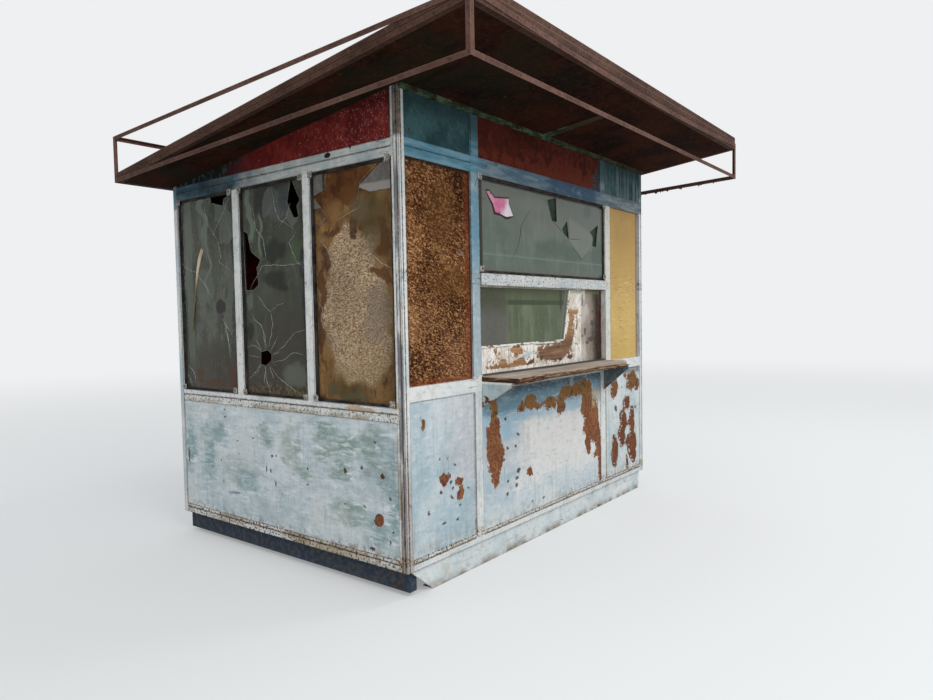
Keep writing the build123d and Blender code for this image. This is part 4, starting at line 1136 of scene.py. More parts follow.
def shelf_wood():
    m = Finish("shelf_wood")
    grain = m.noise(16, stretch=(0.1, 2.2, 2.2))
    fibre = m.noise(60, stretch=(0.06, 2.0, 2.0), shift=(1, 1, 1))
    top = grain.ramp((0.28, (0.19, 0.145, 0.115)), (0.48, (0.42, 0.35, 0.295)), (0.7, (0.66, 0.58, 0.5)))
    top.over((0.14, 0.1, 0.08), fibre.rise(0.52, 0.64) * 0.6)
    layer = m.noise(9, stretch=(0.4, 0.4, 26))
    rim = layer.fade(0.42, 0.58, (0.04, 0.02, 0.012), (0.2, 0.115, 0.065))
    red = layer.fade(0.42, 0.58, (0.04, 0.016, 0.01), (0.13, 0.056, 0.032))
    gold = layer.fade(0.42, 0.58, (0.17, 0.09, 0.03), (0.4, 0.26, 0.105))
    rim.over(red, m.x.rise(1.15, 0.9))
    rim.over(gold, m.x.rise(2.02, 2.1))
    torn = m.noise(22, rough=0.72, stretch=(0.35, 0.35, 5), shift=(0, 3, 1))
    rim.over((0.46, 0.34, 0.22), torn.rise(0.53, 0.58) * 0.8)
    rim.over((0.02, 0.011, 0.008), torn.rise(0.46, 0.41) * 0.85)
    rim.over((0.5, 0.4, 0.31), m.z.rise(1.1345, 1.137) * 0.7)
    rim.over((0.024, 0.014, 0.01), m.z.rise(1.121, 1.114) * 0.75)
    up = m.parts("ShaderNodeSeparateXYZ", m.node("ShaderNodeNewGeometry", output="Normal"))[2]
    under = grain.fade(0.45, 0.6, (0.05, 0.03, 0.02), (0.105, 0.065, 0.042))
    colour = up.fade(0.5, 0.8, rim, top)
    colour.over(under, up.rise(-0.5, -0.8))
    # Darker along the back edge, where the shelf meets the wall: painted shade in the gap
    colour.over((0.04, 0.03, 0.024), m.y.rise(-0.016, -0.003) * 0.75)
    return m.finish(colour, 0.85, grain + fibre, 0.0012, shine=0.05)


def grimy_glass(m, tint, dark, light, shift=(0, 0, 0)):
    """Dust and dried drops on a pane: clouds, fine mottling and soft streaks."""
    cloud = m.noise(3.0, shift=shift)
    fine = m.noise(34, rough=0.72, shift=shift)
    streak = m.noise(20, stretch=(1, 1, 0.1), shift=shift)
    veil = m.noise(6, stretch=(1, 1, 0.3), shift=(2, 2, 7))
    tint = m.mix(cloud.rise(0.44, 0.6) * 0.6, tint, dark)
    tint.over(light, veil.rise(0.5, 0.62) * 0.5)
    tint.over(dark, veil.rise(0.46, 0.36) * 0.4)
    tint.over(light, fine.rise(0.54, 0.68) * 0.5)
    tint.over(dark, fine.rise(0.45, 0.33) * 0.4)
    tint.over(light, streak.rise(0.54, 0.68) * 0.35)
    return tint, cloud, fine


# Clouds of dirt and dark or pale places on the left panes, with a painted reflection of greenery high on the
# far pane and painted shade in thin dark blue lines along the panes' sides: share, colour, ovals
PANE_CLOUDS = [
    (0.6, (0.118, 0.128, 0.125), [(1.03, 2.17, 0.085, 0.09)]),
    (0.6, (0.034, 0.05, 0.058), [(0.985, 2.24, 0.05, 0.08)]),
    (
        0.75, (0.078, 0.118, 0.052),
        [(1.3, 2.08, 0.045, 0.09), (1.245, 1.905, 0.035, 0.06), (0.865, 1.9, 0.04, 0.08)],
    ),
    # Painted reflection of greenery, high on the far pane
    (0.75, (0.04, 0.055, 0.03), [(1.665, 2.25, 0.1, 0.065)]),
    (
        0.8,
        (0.024, 0.028, 0.023),
        [
            (1.19, 2.23, 0.085, 0.085), (1.07, 1.92, 0.12, 0.065), (1.08, 1.75, 0.11, 0.05),
            (1.69, 2.33, 0.11, 0.022), (1.06, 2.32, 0.2, 0.018), (1.34, 1.43, 0.03, 0.06),
            (1.01, 1.7, 0.05, 0.03),
        ],
    ),
    (0.55, (0.078, 0.068, 0.052), [(0.99, 1.45, 0.19, 0.14)]),
    (
        0.55, (0.165, 0.19, 0.155),
        [(0.91, 1.165, 0.105, 0.08), (1.34, 1.61, 0.04, 0.05), (1.84, 1.74, 0.11, 0.12)],
    ),
    (
        0.65, (0.105, 0.048, 0.022),
        [(1.555, 1.11, 0.05, 0.09), (1.76, 1.08, 0.16, 0.03), (1.93, 1.13, 0.04, 0.05)],
    ),
    # Painted shade: thin dark blue lines along the panes' sides
    (
        0.8, (0.02, 0.034, 0.05),
        [(1.505, 1.9, 0.014, 0.5), (0.8, 1.7, 0.012, 0.65), (2.098, 1.7, 0.01, 0.6)],
    ),
]


def pale_ribbons(m):
    """Waved ribbons of paler glass, with their sharp edges."""
    wave = m.noise(5.5, detail=1, rough=0.5, stretch=(1, 0.2, 1), shift=(0, 1, 2)).sway(0.26)
    bend = m.y + wave
    return (
        bend.band(1.78, 1.85, 0.005) * m.z.rise(1.84, 2.1)
        | bend.band(1.79, 1.815, 0.004) * m.z.rise(1.56, 1.7)
        | m.y.band(1.99, 2.065, 0.01) * m.z.rise(1.1, 1.3) * 0.75
        | bend.band(1.3, 1.35, 0.004) * m.z.rise(1.98, 2.02)
        | bend.band(1.215, 1.245, 0.004) * m.z.band(1.9, 2.16, 0.03)
    )


def milky_pieces(m, fine, fray, near):
    """Pieces of milky glass left in the near window's top corners: their colour, and where they are."""
    shy = fray.sway(0.03)
    torn_top = m.z + m.y * 0.55 + shy
    torn_foot = m.z - m.calc("MAXIMUM", m.y - 0.24, 0.0) * 0.45
    right = torn_top.rise(2.402, 2.397) * (torn_foot + shy).rise(2.174, 2.18)
    left = (
        m.y.rise(0.612, 0.617) * m.z.rise(2.205, 2.212)
        | (m.y - m.z).rise(-1.504, -1.498) * m.z.band(2.132, 2.2, 0.003)
        | m.blots(SIDE, [(0.606, 2.056, 0.022, 0.036, 25)], fray, 0.3, 0.04)
    )
    milk = (right | left) * near
    fringe = m.y.rise(0.4, 0.36) * (m.z + shy).rise(2.232, 2.218)
    milky = fine.fade(0.45, 0.6, (0.14, 0.128, 0.118), (0.19, 0.17, 0.152))
    return m.mix(fringe, milky, (0.33, 0.3, 0.27)), milk


# Pale broken pieces of the left panes
PANE_SHARDS = [
    (1.6, 2.18, 0.085, 0.13, 30), (1.58, 2.06, 0.09, 0.06), (1.14, 2.22, 0.05, 0.08),
    (0.89, 2.11, 0.06, 0.05),
]


def side_glass():
    m = Finish("side_glass")
    tint, cloud, fine = grimy_glass(m, (0.1, 0.106, 0.082), (0.038, 0.04, 0.03), (0.2, 0.21, 0.172))
    middle = m.y.band(0.77, 1.41, 0.004)
    tint.over(m.mix(0.45, tint, (0.05, 0.05, 0.036)), middle)
    fray = m.noise(14, shift=(0, 4, 2))
    m.tear(8, 0.12, (1, 1, 0.7))
    brown = (m.z + cloud * 0.35).rise(1.6, 1.36)
    tint.over((0.072, 0.054, 0.044), brown * 0.6)
    for share, shade, rows in PANE_CLOUDS:
        tint.over(shade, m.blots(SIDE, rows, fray, 0.9, 0.24) * share)
    foot = middle * (m.z + fray * 0.06).rise(1.14, 1.11)
    tint.over(fine.fade(0.46, 0.56, (0.05, 0.036, 0.02), (0.17, 0.125, 0.055)), foot * 0.65)
    light = pale_ribbons(m)
    tint.over((0.18, 0.215, 0.172), light * 0.75)
    shards = m.nearest(SIDE, PANE_SHARDS)
    shard = (shards + fray.sway(0.7)).rise(1.03, 0.97)
    tint.over((0.165, 0.185, 0.16), shard * 0.45)
    spot = m.blots(SIDE, [(1.67, 1.585, 0.055, 0.058)], fray, 0.6, 0.05)
    tint.over((0.032, 0.024, 0.023), spot * 0.9)
    near = m.y.rise(0.72, 0.7)
    milky, milk = milky_pieces(m, fine, fray, near)
    tint.over(milky, milk * 0.95)
    dust = 0.6 + cloud * 0.35
    dust = m.calc("SUBTRACT", dust, near * 0.72, clamp=True)
    smudge = fine.rise(0.62, 0.72) * 0.2
    far = (brown | light | shard) * (1 - near)
    see = dust | far * 0.86 | spot * 0.95 | milk * 0.95 | smudge
    return m.finish(tint, 0.16, fine, 0.0003, shine=0.1, alpha=see)


# Deep green clouds in the front pane
FRONT_DEEP = [
    (2.21, 1.94, 0.09, 0.11), (1.82, 1.93, 0.13, 0.06), (2.06, 2.27, 0.06, 0.06), (1.56, 1.96, 0.2, 0.06)
]


def front_glass():
    m = Finish("front_glass")
    tint, cloud, fine = grimy_glass(m, (0.112, 0.148, 0.12), (0.085, 0.118, 0.095), (0.165, 0.2, 0.17))
    fray = m.noise(8)
    # Greyer and lighter above, greener below: painted reflection of sky over greenery
    fall = (m.z + fray.sway(0.3)).rise(2.16, 1.98)
    tint = m.mix(fall, m.mix(0.6, tint, (0.165, 0.168, 0.148)), tint)
    deep = m.blots(FRONT, FRONT_DEEP, fray, 1.4, 0.4)
    tint.over((0.062, 0.095, 0.072), deep * 0.55)
    soft = m.blots(FRONT, [(1.42, 2.06, 0.11, 0.07), (1.3, 2.23, 0.2, 0.05)], fray, 1.2, 0.4)
    tint.over((0.185, 0.205, 0.175), soft * 0.35)
    foot = m.z.rise(1.815, 1.795)
    tint.over((0.13, 0.13, 0.105), foot * 0.5)
    # A lighter piece of glass with a point downwards, right of the middle: its lighter tone is a painted
    # reflection
    along = m.x - 1.985
    point = m.z - 1.9 - m.calc("ABSOLUTE", along) * 0.6
    shard = point.rise(-0.003, 0.005) * m.x.band(1.79, 2.15, 0.003)
    shard = shard * (m.z + m.x * 0.25).rise(2.66, 2.62)
    tint.over((0.225, 0.24, 0.205), shard * 0.5)
    # A pale line across the pane: painted reflection
    line = m.z.band(1.872, 1.884, 0.006)
    tint.over((0.22, 0.28, 0.23), line * 0.35)
    rim = m.z.rise(2.306, 2.314) | m.x.rise(0.74, 0.728) | m.z.rise(1.782, 1.774)
    tint.over((0.016, 0.015, 0.013), rim * 0.9)
    return m.finish(tint, 0.16, fine, 0.0003, shine=0.22, alpha=0.84 + cloud * 0.15)


def hatch_glass():
    m = Finish("hatch_glass")
    tint, cloud, fine = grimy_glass(
        m, (0.108, 0.134, 0.074), (0.066, 0.082, 0.042), (0.19, 0.215, 0.145), (3, 1, 0)
    )
    left = (m.x + cloud * 0.1).rise(1.09, 1.02)
    dim = (m.z + cloud * 0.2).fade(1.7, 1.56, (0.052, 0.05, 0.028), (0.118, 0.112, 0.104))
    dim.over((0.07, 0.072, 0.046), fine.rise(0.5, 0.6) * 0.5)
    tint.over(dim, left * 0.85)
    top = m.z.rise(1.565, 1.569) * (1 - left)
    tint.over((0.066, 0.085, 0.034), top * 0.65)
    line = m.z.band(1.569, 1.6, 0.006) * (1 - left)
    tint.over((0.03, 0.044, 0.016), line * 0.75)
    high = m.z.rise(1.615, 1.66)
    tint.over((0.038, 0.048, 0.02), high * 0.6)
    right = (m.x - (m.z - 1.33) * 0.23).rise(1.645, 1.665)
    tint.over((0.15, 0.15, 0.12), right * 0.7)
    post = m.x.band(1.655, 1.69, 0.006) * m.z.rise(1.5, 1.56)
    tint.over((0.026, 0.028, 0.018), post * 0.75)
    return m.finish(tint, 0.16, fine, 0.0003, shine=0.2, alpha=0.86 + cloud * 0.12)


def right_glass():
    m = Finish("right_glass")
    tint, cloud, fine = grimy_glass(
        m, (0.135, 0.155, 0.125), (0.09, 0.105, 0.085), (0.21, 0.23, 0.195), (4, 4, 4)
    )
    return m.finish(tint, 0.16, fine, 0.0003, shine=0.22, alpha=0.66 + cloud * 0.35)


def clip_paint():
    m = Finish("clip_paint")
    grain = m.noise(120, detail=3, rough=0.5)
    colour = grain.fade(0.42, 0.56, (0.52, 0.53, 0.49), (0.2, 0.15, 0.11))
    colour.over((0.055, 0.035, 0.024), m.edges(0.003) * 0.7)
    return m.finish(colour, 0.6, grain, 0.0005)


def crack_finish(name, tone):
    m = Finish(name)
    grain = m.noise(60, detail=3, rough=0.5)
    colour = grain.fade(0.35, 0.65, tone, tuple(0.35 * c for c in tone))
    return m.finish(colour, 0.4, grain, 0.0002, shine=0.2)


def scrap_paper():
    m = Finish("pink_scrap_paper")
    blot = m.noise(9)
    colour = blot.fade(0.4, 0.6, (0.6, 0.165, 0.3), (0.66, 0.34, 0.44))
    pale = (m.x + (2.25 - m.z) * 0.6).rise(0.985, 1.045)
    colour.over((0.74, 0.67, 0.72), pale)
    mark = m.noise(34, detail=3, rough=0.5, shift=(3, 0, 1)).rise(0.6, 0.68)
    colour.over((0.25, 0.03, 0.085), mark * 0.7)
    return m.finish(colour, 0.75, blot, 0.0008)


def strip_finish():
    m = Finish("pale_strip")
    grain = m.noise(40, stretch=(1, 2, 0.15))
    colour = m.z.fade(1.7, 1.86, (0.17, 0.13, 0.07), (0.7, 0.53, 0.4))
    colour.over((0.16, 0.1, 0.06), grain.rise(0.46, 0.6) * 0.55)
    return m.finish(colour, 0.7, grain, 0.0006)


def splinter_finish():
    m = Finish("torn_shelf_wood")
    grain = m.noise(60, stretch=(0.2, 1, 2))
    red = grain.ramp((0.32, (0.03, 0.013, 0.008)), (0.5, (0.12, 0.062, 0.036)), (0.7, (0.4, 0.27, 0.17)))
    tan = grain.ramp((0.32, (0.08, 0.045, 0.026)), (0.5, (0.24, 0.145, 0.08)), (0.7, (0.5, 0.36, 0.22)))
    gold = grain.ramp((0.32, (0.125, 0.065, 0.022)), (0.5, (0.36, 0.22, 0.08)), (0.7, (0.55, 0.38, 0.16)))
    colour = m.x.fade(1.0, 1.4, red, tan)
    colour.over(gold, m.x.rise(2.0, 2.1))
    return m.finish(colour, 0.85, grain, 0.0008, shine=0.05)


def front_flake_paint():
    m = Finish("front_flake_paint")
    grain = m.noise(50, rough=0.5)
    blue = m.z.rise(0.84, 0.92) * m.x.band(0.69, 2.23, 0.01)
    colour = m.mix(blue, (0.72, 0.73, 0.73), (0.2, 0.34, 0.43))
    colour.over((0.3, 0.22, 0.17), grain.rise(0.5, 0.66) * 0.5)
    return m.finish(colour, 0.6, grain, 0.0004)


def bead_paint():
    m = Finish("bead_paint")
    grain = m.noise(46, stretch=(0.5, 1, 1.5))
    colour = grain.fade(0.54, 0.6, (0.78, 0.76, 0.71), (0.15, 0.075, 0.04))
    return m.finish(colour, 0.6, grain, 0.0008)


def crust_finish():
    m = Finish("rust_crust")
    return m.finish(
        m.mix(0.6, rust_colour(m), (0.045, 0.02, 0.014)), 0.85, m.noise(80, rough=0.5), 0.0008, shine=0.05
    )


def inner_glass():
    m = Finish("inner_glass")
    cloud = m.noise(6)
    colour = cloud.fade(0.38, 0.62, (0.018, 0.03, 0.02), (0.04, 0.06, 0.042))
    return m.finish(colour, 0.5, cloud, 0.0004, shine=0.05)


def dress(finish, *nodes):
    for node in nodes:
        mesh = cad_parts[node].data
        mesh.materials.clear()
        mesh.materials.append(finish)


dress(front_frame_paint(), "front_frame")
dress(side_frame_paint("left_frame_paint"), "left_frame")
dress(side_frame_paint("right_frame_paint", dark_far=False), "right_frame")
dress(back_frame_paint(), "back_frame")
dress(front_panel_paint(), "front_panels_lower")
dress(side_panel_paint("left_panel_paint", (0, 0, 0)), "left_panel_lower")
dress(side_panel_paint("right_panel_paint", (0, 3, 5)), "right_panel_lower")
dress(back_panel_paint(), "back_panels")
dress(door_paint(), "back_door")
dress(skid_paint(), "skids")
dress(base_steel(), "cross_members")
dress(floor_wood(), "floor_boards")
dress(chipboard(), "front_panel_chipboard")
dress(window_board(), "left_window_board")
dress(ochre_board(), "front_panel_plywood")
dress(teal_frieze(), "front_frieze_ends")
dress(red_frieze(), "front_frieze_middle")
dress(scratched_frieze(), "left_frieze", "right_frieze")
dress(soffit(), "roof_soffit_sheets")
trim = rusty_steel("roof_trim", (0.05, 0.026, 0.02), (0.085, 0.045, 0.032), (0.15, 0.08, 0.05))
dress(trim, "roof_edge_lower", "roof_edge_upper", "roof_front_lip")
sign_metal = rusty_steel("sign_steel", (0.08, 0.04, 0.032), (0.125, 0.066, 0.052), (0.19, 0.11, 0.08))
dress(sign_metal, "sign_rails_lower", "sign_rails_upper", "sign_posts")
tin = roof_sheet()
dress(tin, "roof_sheet")
dress(roof_core(), "roof_core")
dress(soffit_green(), "soffit_batten", "soffit_cover_strip")
dress(dark_frame(), "front_window_frame", "left_window_frames", "right_window_frames")
dress(lining(), "lining_ends", "lining_sides")
iron = hardware()
dress(iron, "door_hinges", "door_handle")
dress(bracket_paint(), "counter_brackets")
dress(sash_paint(), "hatch_sash")
dress(white_board(), "hatch_board")
dress(shelf_wood(), "counter_shelf")
dress(side_glass(), "left_window_panes")
dress(front_glass(), "front_window_pane")
dress(hatch_glass(), "hatch_pane")
dress(right_glass(), "right_window_panes")

# Small pieces, each placed on a wall by (along, up, out) from the walls' corner
UP = Vector((0, 0, 1))
WALLS = {
    "front": (CORNER, Vector((1, 0, 0)), Vector((0, -1, 0))),
    "left": (CORNER, Vector((0, 1, 0)), Vector((-1, 0, 0))),
    "right": (CORNER + Vector((WALL_W, 0, 0)), Vector((0, 1, 0)), Vector((1, 0, 0))),
}


def shift(x, y, z):
    return Matrix.Translation((x, y, z))


def turn(degrees, axis):
    return Matrix.Rotation(math.radians(degrees), 4, axis)


def on_wall(name):
    origin, along, out = WALLS[name]
    return Matrix.Translation(origin) @ Matrix((along, UP, out)).transposed().to_4x4()


def keep(name, mesh, finish):
    mesh.materials.append(finish)
    made = show(bpy.data.objects.new(name, mesh))
    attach(made, "root")


def keep_bm(name, bm, finish):
    bmesh.ops.recalc_face_normals(bm, faces=bm.faces)
    mesh = bpy.data.meshes.new(name)
    bm.to_mesh(mesh)
    bm.free()
    keep(name, mesh, finish)


def add_bar(bm, size, place, round_off):
    """A bar with softened edges, its middle at the place's origin."""
    made = bmesh.ops.create_cube(bm, size=1.0, matrix=place @ Matrix.Diagonal((*size, 1.0)))
    edges = list({edge for corner in made["verts"] for edge in corner.link_edges})
    bmesh.ops.bevel(bm, geom=edges, offset=round_off, affect="EDGES", segments=2, profile=0.5, material=-1)


def add_cone(bm, sides, low, high, tall, place):
    """A round or many-sided stub that stands on the place's plane."""
    ends = {"radius1": low, "radius2": high, "depth": tall}
    bmesh.ops.create_cone(bm, cap_ends=True, segments=sides, matrix=place @ shift(0, 0, tall / 2), **ends)


# How long a crack runs straight on
CRACK_STEP = 0.03


def ragged(points, rng, sway=0.004):
    """The same line with small random turns, as a crack runs."""
    line = [points[0]]
    for (x0, z0), (x1, z1) in zip(points, points[1:]):
        span = math.dist((x0, z0), (x1, z1))
        count = max(1, round(span / CRACK_STEP))
        for k in range(1, count + 1):
            t = k / count
            aside = 0.0 if k == count else rng.uniform(-sway, sway) / span
            line.append((x0 + (x1 - x0) * t + (z1 - z0) * aside, z0 + (z1 - z0) * t - (x1 - x0) * aside))
    return line


def wires(name, lines, thick, finish):
    """Thin lines on the panes, each point with its share of the thickness."""
    data = bpy.data.curves.new(name, "CURVE")
    data.dimensions = "3D"
    data.bevel_depth = thick
    data.bevel_resolution = 0
    data.use_fill_caps = True
    for line in lines:
        spline = data.splines.new("POLY")
        spline.points.add(len(line) - 1)
        for point, (place, share) in zip(spline.points, line):
            point.co = (*place, 1.0)
            point.radius = share
    shape = bpy.data.objects.new(name, data)
    mesh = bpy.data.meshes.new_from_object(shape)
    mesh.name = name
    bpy.data.objects.remove(shape)
    bpy.data.curves.remove(data)
    keep(name, mesh, finish)


# The panes' outer faces lie this far from the walls' outer faces
PANE_FACE = -0.018
# Cracks thin out to both ends, down to a quarter of their middle
CRACK_TAPER = 0.75


def cracks(name, wall, lines, thick, finish):
    place = on_wall(wall)
    raised = []
    for points in lines:
        last = len(points) - 1
        raised.append([
            (place @ Vector((along, up, PANE_FACE)), 1.0 - CRACK_TAPER * abs(2.0 * k / last - 1.0) ** 2)
            for k, (along, up) in enumerate(points)
        ])
    wires(name, raised, thick, finish)


# Corner plates that hold the windows in, each with a washer, a nut and a bolt
CLIP = 0.04
CLIP_T = 0.003
CLIP_GAP = 0.0003
CLIP_TILT = 9
BOLT_AWAY = 0.005
WASHER = (16, 0.0125, 0.012, 0.0022)
NUT = (6, 0.0085, 0.008, 0.0075)
BOLT = (10, 0.0042, 0.0036, 0.011)
FRONT_CLIPS = [(0.692, 2.327), (0.7, 1.783), (2.3, 2.322), (2.3, 1.786)]
SIDE_CLIPS = [
    (0.085, 2.33), (0.085, 1.04), (0.7, 2.33), (0.7, 1.04), (0.79, 2.328), (0.79, 1.04), (1.392, 2.326),
    (1.392, 1.042), (1.5, 2.326), (1.5, 1.042), (2.108, 2.326), (2.108, 1.044),
]


def window_clips(name, wall, places, seed, finish):
    rng = random.Random(seed)
    bm = bmesh.new()
    for along, up in places:
        tilt = turn(rng.uniform(-CLIP_TILT, CLIP_TILT), "Z")
        place = on_wall(wall) @ shift(along, up, CLIP_T / 2 + CLIP_GAP) @ tilt
        add_bar(bm, (CLIP, CLIP * rng.uniform(0.8, 1.0), CLIP_T), place, 0.001)
        away = [rng.uniform(-BOLT_AWAY, BOLT_AWAY) for axis in range(2)]
        bolt = place @ shift(*away, CLIP_T / 2)
        add_cone(bm, *WASHER, bolt)
        add_cone(bm, *NUT, bolt @ tilt)
        add_cone(bm, *BOLT, bolt)
    keep_bm(name, bm, finish)


# Cracks in the panes, as (along, up) on the wall
LEFT_CRACKS = [
    [(1.727, 2.094), (1.672, 2.029), (1.644, 1.915), (1.669, 1.89), (1.536, 1.83)],
    [(2.137, 1.919), (2.062, 1.873), (1.938, 1.831), (1.868, 1.767), (1.755, 1.654)],
    [(1.72, 2.09), (1.62, 2.19), (1.53, 2.3)],
    [(1.672, 2.029), (1.79, 2.16), (1.83, 2.31)],
    [(1.65, 1.52), (1.6, 1.4), (1.56, 1.29)],
    [(1.64, 1.51), (1.595, 1.455), (1.55, 1.41)],
    [(1.62, 1.525), (1.585, 1.345), (1.57, 1.23)],
    [(2.09, 1.19), (2.035, 1.16), (2.0, 1.11), (2.01, 1.062)],
    [(2.095, 1.13), (2.06, 1.09), (2.045, 1.05)],
    [(1.33, 1.7), (1.2, 1.835), (1.08, 1.838), (0.95, 1.828), (0.8, 1.835)],
    [(0.8, 1.8), (0.87, 1.85), (0.93, 1.96), (0.86, 2.02)],
    [(1.27, 1.67), (1.19, 1.59), (1.13, 1.55), (1.06, 1.59), (1.0, 1.6)],
    [(1.13, 1.55), (1.11, 1.47), (1.16, 1.32)],
    [(1.34, 1.55), (1.29, 1.5), (1.23, 1.47), (1.19, 1.4), (1.18, 1.32)],
    [(1.28, 2.2), (1.25, 2.07), (1.18, 2.0), (1.16, 1.88), (1.205, 1.872)],
    [(1.08, 2.31), (1.06, 2.19), (1.01, 2.1), (0.94, 2.07), (0.88, 2.04)],
    [(1.02, 2.06), (0.95, 2.11), (0.91, 2.19)],
    [(1.12, 1.29), (1.02, 1.33), (0.9, 1.42), (0.8, 1.44)],
    [(1.13, 1.24), (1.03, 1.25), (0.92, 1.3), (0.81, 1.29)],
    [(1.15, 1.21), (1.06, 1.14), (0.95, 1.09), (0.86, 1.05)],
    [(1.2, 1.21), (1.19, 1.12), (1.15, 1.045)],
    [(1.24, 1.24), (1.3, 1.17), (1.38, 1.12)],
    [(1.23, 1.3), (1.31, 1.34), (1.385, 1.33)],
    [(0.69, 1.61), (0.64, 1.56), (0.655, 1.5), (0.63, 1.43)],
    [(0.61, 1.41), (0.48, 1.28), (0.34, 1.17)],
    [(0.24, 1.85), (0.16, 1.79), (0.08, 1.76)],
]
LEFT_SCRATCHES = [[(0.49, 2.05), (0.4, 2.082), (0.31, 2.105)], [(0.66, 1.965), (0.59, 1.9), (0.56, 1.83)]]
FRONT_CRACKS = [
    [(1.29, 2.2), (1.215, 2.14), (1.16, 2.08), (1.13, 1.96), (1.085, 1.9), (1.04, 1.84)],
    [(0.655, 2.22), (0.7, 2.214), (0.78, 2.2)],
    [(1.768, 2.04), (1.87, 1.968), (1.974, 1.901), (2.1, 1.985), (2.15, 2.015)],
    [(1.548, 2.147), (1.64, 2.11), (1.7, 2.072)],
    [(1.783, 2.041), (1.86, 2.045), (1.95, 2.052)],
]
# The hole low in the middle pane, with fine cracks that run out from it
HOLE = (1.185, 1.262)
HOLE_WIDE = 0.066
HOLE_TALL = 0.056
HOLE_CRACKS = 9


def glass_cracks():
    rng = random.Random(11)
    lines = [ragged(points, rng) for points in LEFT_CRACKS]
    for k in range(HOLE_CRACKS):
        way = math.radians(360 / HOLE_CRACKS * k + rng.uniform(-12, 12))
        reach = rng.uniform(0.1, 0.2)
        start = (HOLE[0] + HOLE_WIDE * math.cos(way), HOLE[1] + HOLE_TALL * math.sin(way))
        end = (HOLE[0] + reach * math.cos(way), HOLE[1] + reach * math.sin(way))
        lines.append(ragged([start, end], rng))
    cracks("left_glass_cracks", "left", lines, 0.0014, crack_finish("crack_pale", (0.62, 0.66, 0.6)))
    scratches = [ragged(points, rng, 0.001) for points in LEFT_SCRATCHES]
    cracks("left_glass_scratches", "left", scratches, 0.002, crack_finish("scratch_pale", (0.62, 0.58, 0.5)))
    dark = [ragged(points, rng, 0.003) for points in FRONT_CRACKS]
    cracks("front_glass_cracks", "front", dark, 0.002, crack_finish("crack_dark", (0.02, 0.028, 0.022)))


# How close two places are that count as one, and how far apart those of a slanted edge are
SAME_SPOT = 0.00005
SAME_FACE = 0.0002
SLANTED = 0.0005


def broken_rim_glints(name, node, axis, thick, finish):
    """A painted glint: a bright line along what is broken out of a pane, read from the pane's outer face."""
    bm = bmesh.new()
    bm.from_mesh(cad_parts[node].data)
    bmesh.ops.remove_doubles(bm, verts=bm.verts, dist=SAME_SPOT)
    face = min(vert.co[axis] for vert in bm.verts)
    across = 1 - axis
    lines = []
    for edge in bm.edges:
        a, b = (vert.co.copy() for vert in edge.verts)
        flat = abs(a[axis] - face) < SAME_FACE and abs(b[axis] - face) < SAME_FACE
        slanted = abs(a[across] - b[across]) > SLANTED and abs(a.z - b.z) > SLANTED
        if flat and slanted and any(abs(side.normal[axis]) < 0.5 for side in edge.link_faces):
            lines.append([(a, 1.0), (b, 1.0)])
    bm.free()
    wires(name, lines, thick, finish)


def torn_sheet(name, wall, outline, out, thick, finish, curl=0.0):
    """A thin torn sheet on a wall, lifted a little towards its right end."""
    bm = bmesh.new()
    sheet = bm.faces.new([bm.verts.new((along, up, out)) for along, up in outline])
    made = bmesh.ops.extrude_face_region(bm, geom=[sheet])
    moved = [part for part in made["geom"] if isinstance(part, bmesh.types.BMVert)]
    bmesh.ops.translate(bm, vec=(0, 0, thick), verts=moved)
    low = min(along for along, up in outline)
    wide = max(along for along, up in outline) - low
    for corner in bm.verts:
        corner.co.z += curl * ((corner.co.x - low) / wide) ** 2
    bmesh.ops.transform(bm, matrix=on_wall(wall), verts=bm.verts)
    keep_bm(name, bm, finish)


SCRAP = [
    (0.779, 2.253), (0.809, 2.257), (0.861, 2.221), (1.013, 2.233), (1.012, 2.202), (1.055, 2.131),
    (0.987, 2.118), (0.901, 2.134), (0.869, 2.137), (0.849, 2.183),
]
SCRAP_EDGE = [
    (0.771, 2.262), (0.812, 2.266), (0.862, 2.231), (1.022, 2.243), (1.024, 2.202), (1.072, 2.128),
    (1.03, 2.112), (0.985, 2.102), (0.935, 2.118), (0.9, 2.12), (0.855, 2.122), (0.838, 2.172), (0.8, 2.215),
]
# The pale narrow strip that leans behind the far pane of the left wall
STRIP = [
    (1.866, 2.0), (1.86, 1.978), (1.846, 1.994), (1.856, 1.96), (1.876, 1.925), (1.909, 1.85), (1.946, 1.7),
    (1.978, 1.56), (2.001, 1.44), (2.013, 1.44), (1.994, 1.56), (1.965, 1.7), (1.936, 1.85), (1.914, 1.925),
    (1.89, 1.968),
]

# Splinters along the counter shelf's front and broken right edge, and the torn layer under its left end
SHELF_LOW, SHELF_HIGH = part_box("counter_shelf")
SPLINTERS = 150
BREAK_SPLINTERS = 40
SPLINTER_TIP = 0.0004
BREAK_BACK = Vector((SHELF_HIGH.x - 0.06, SHELF_HIGH.y - 0.15, 0))
BREAK_FRONT = Vector((SHELF_HIGH.x - 0.19, SHELF_LOW.y, 0))
LAYER_BACK = 0.225
LAYER_WIDE = 0.036


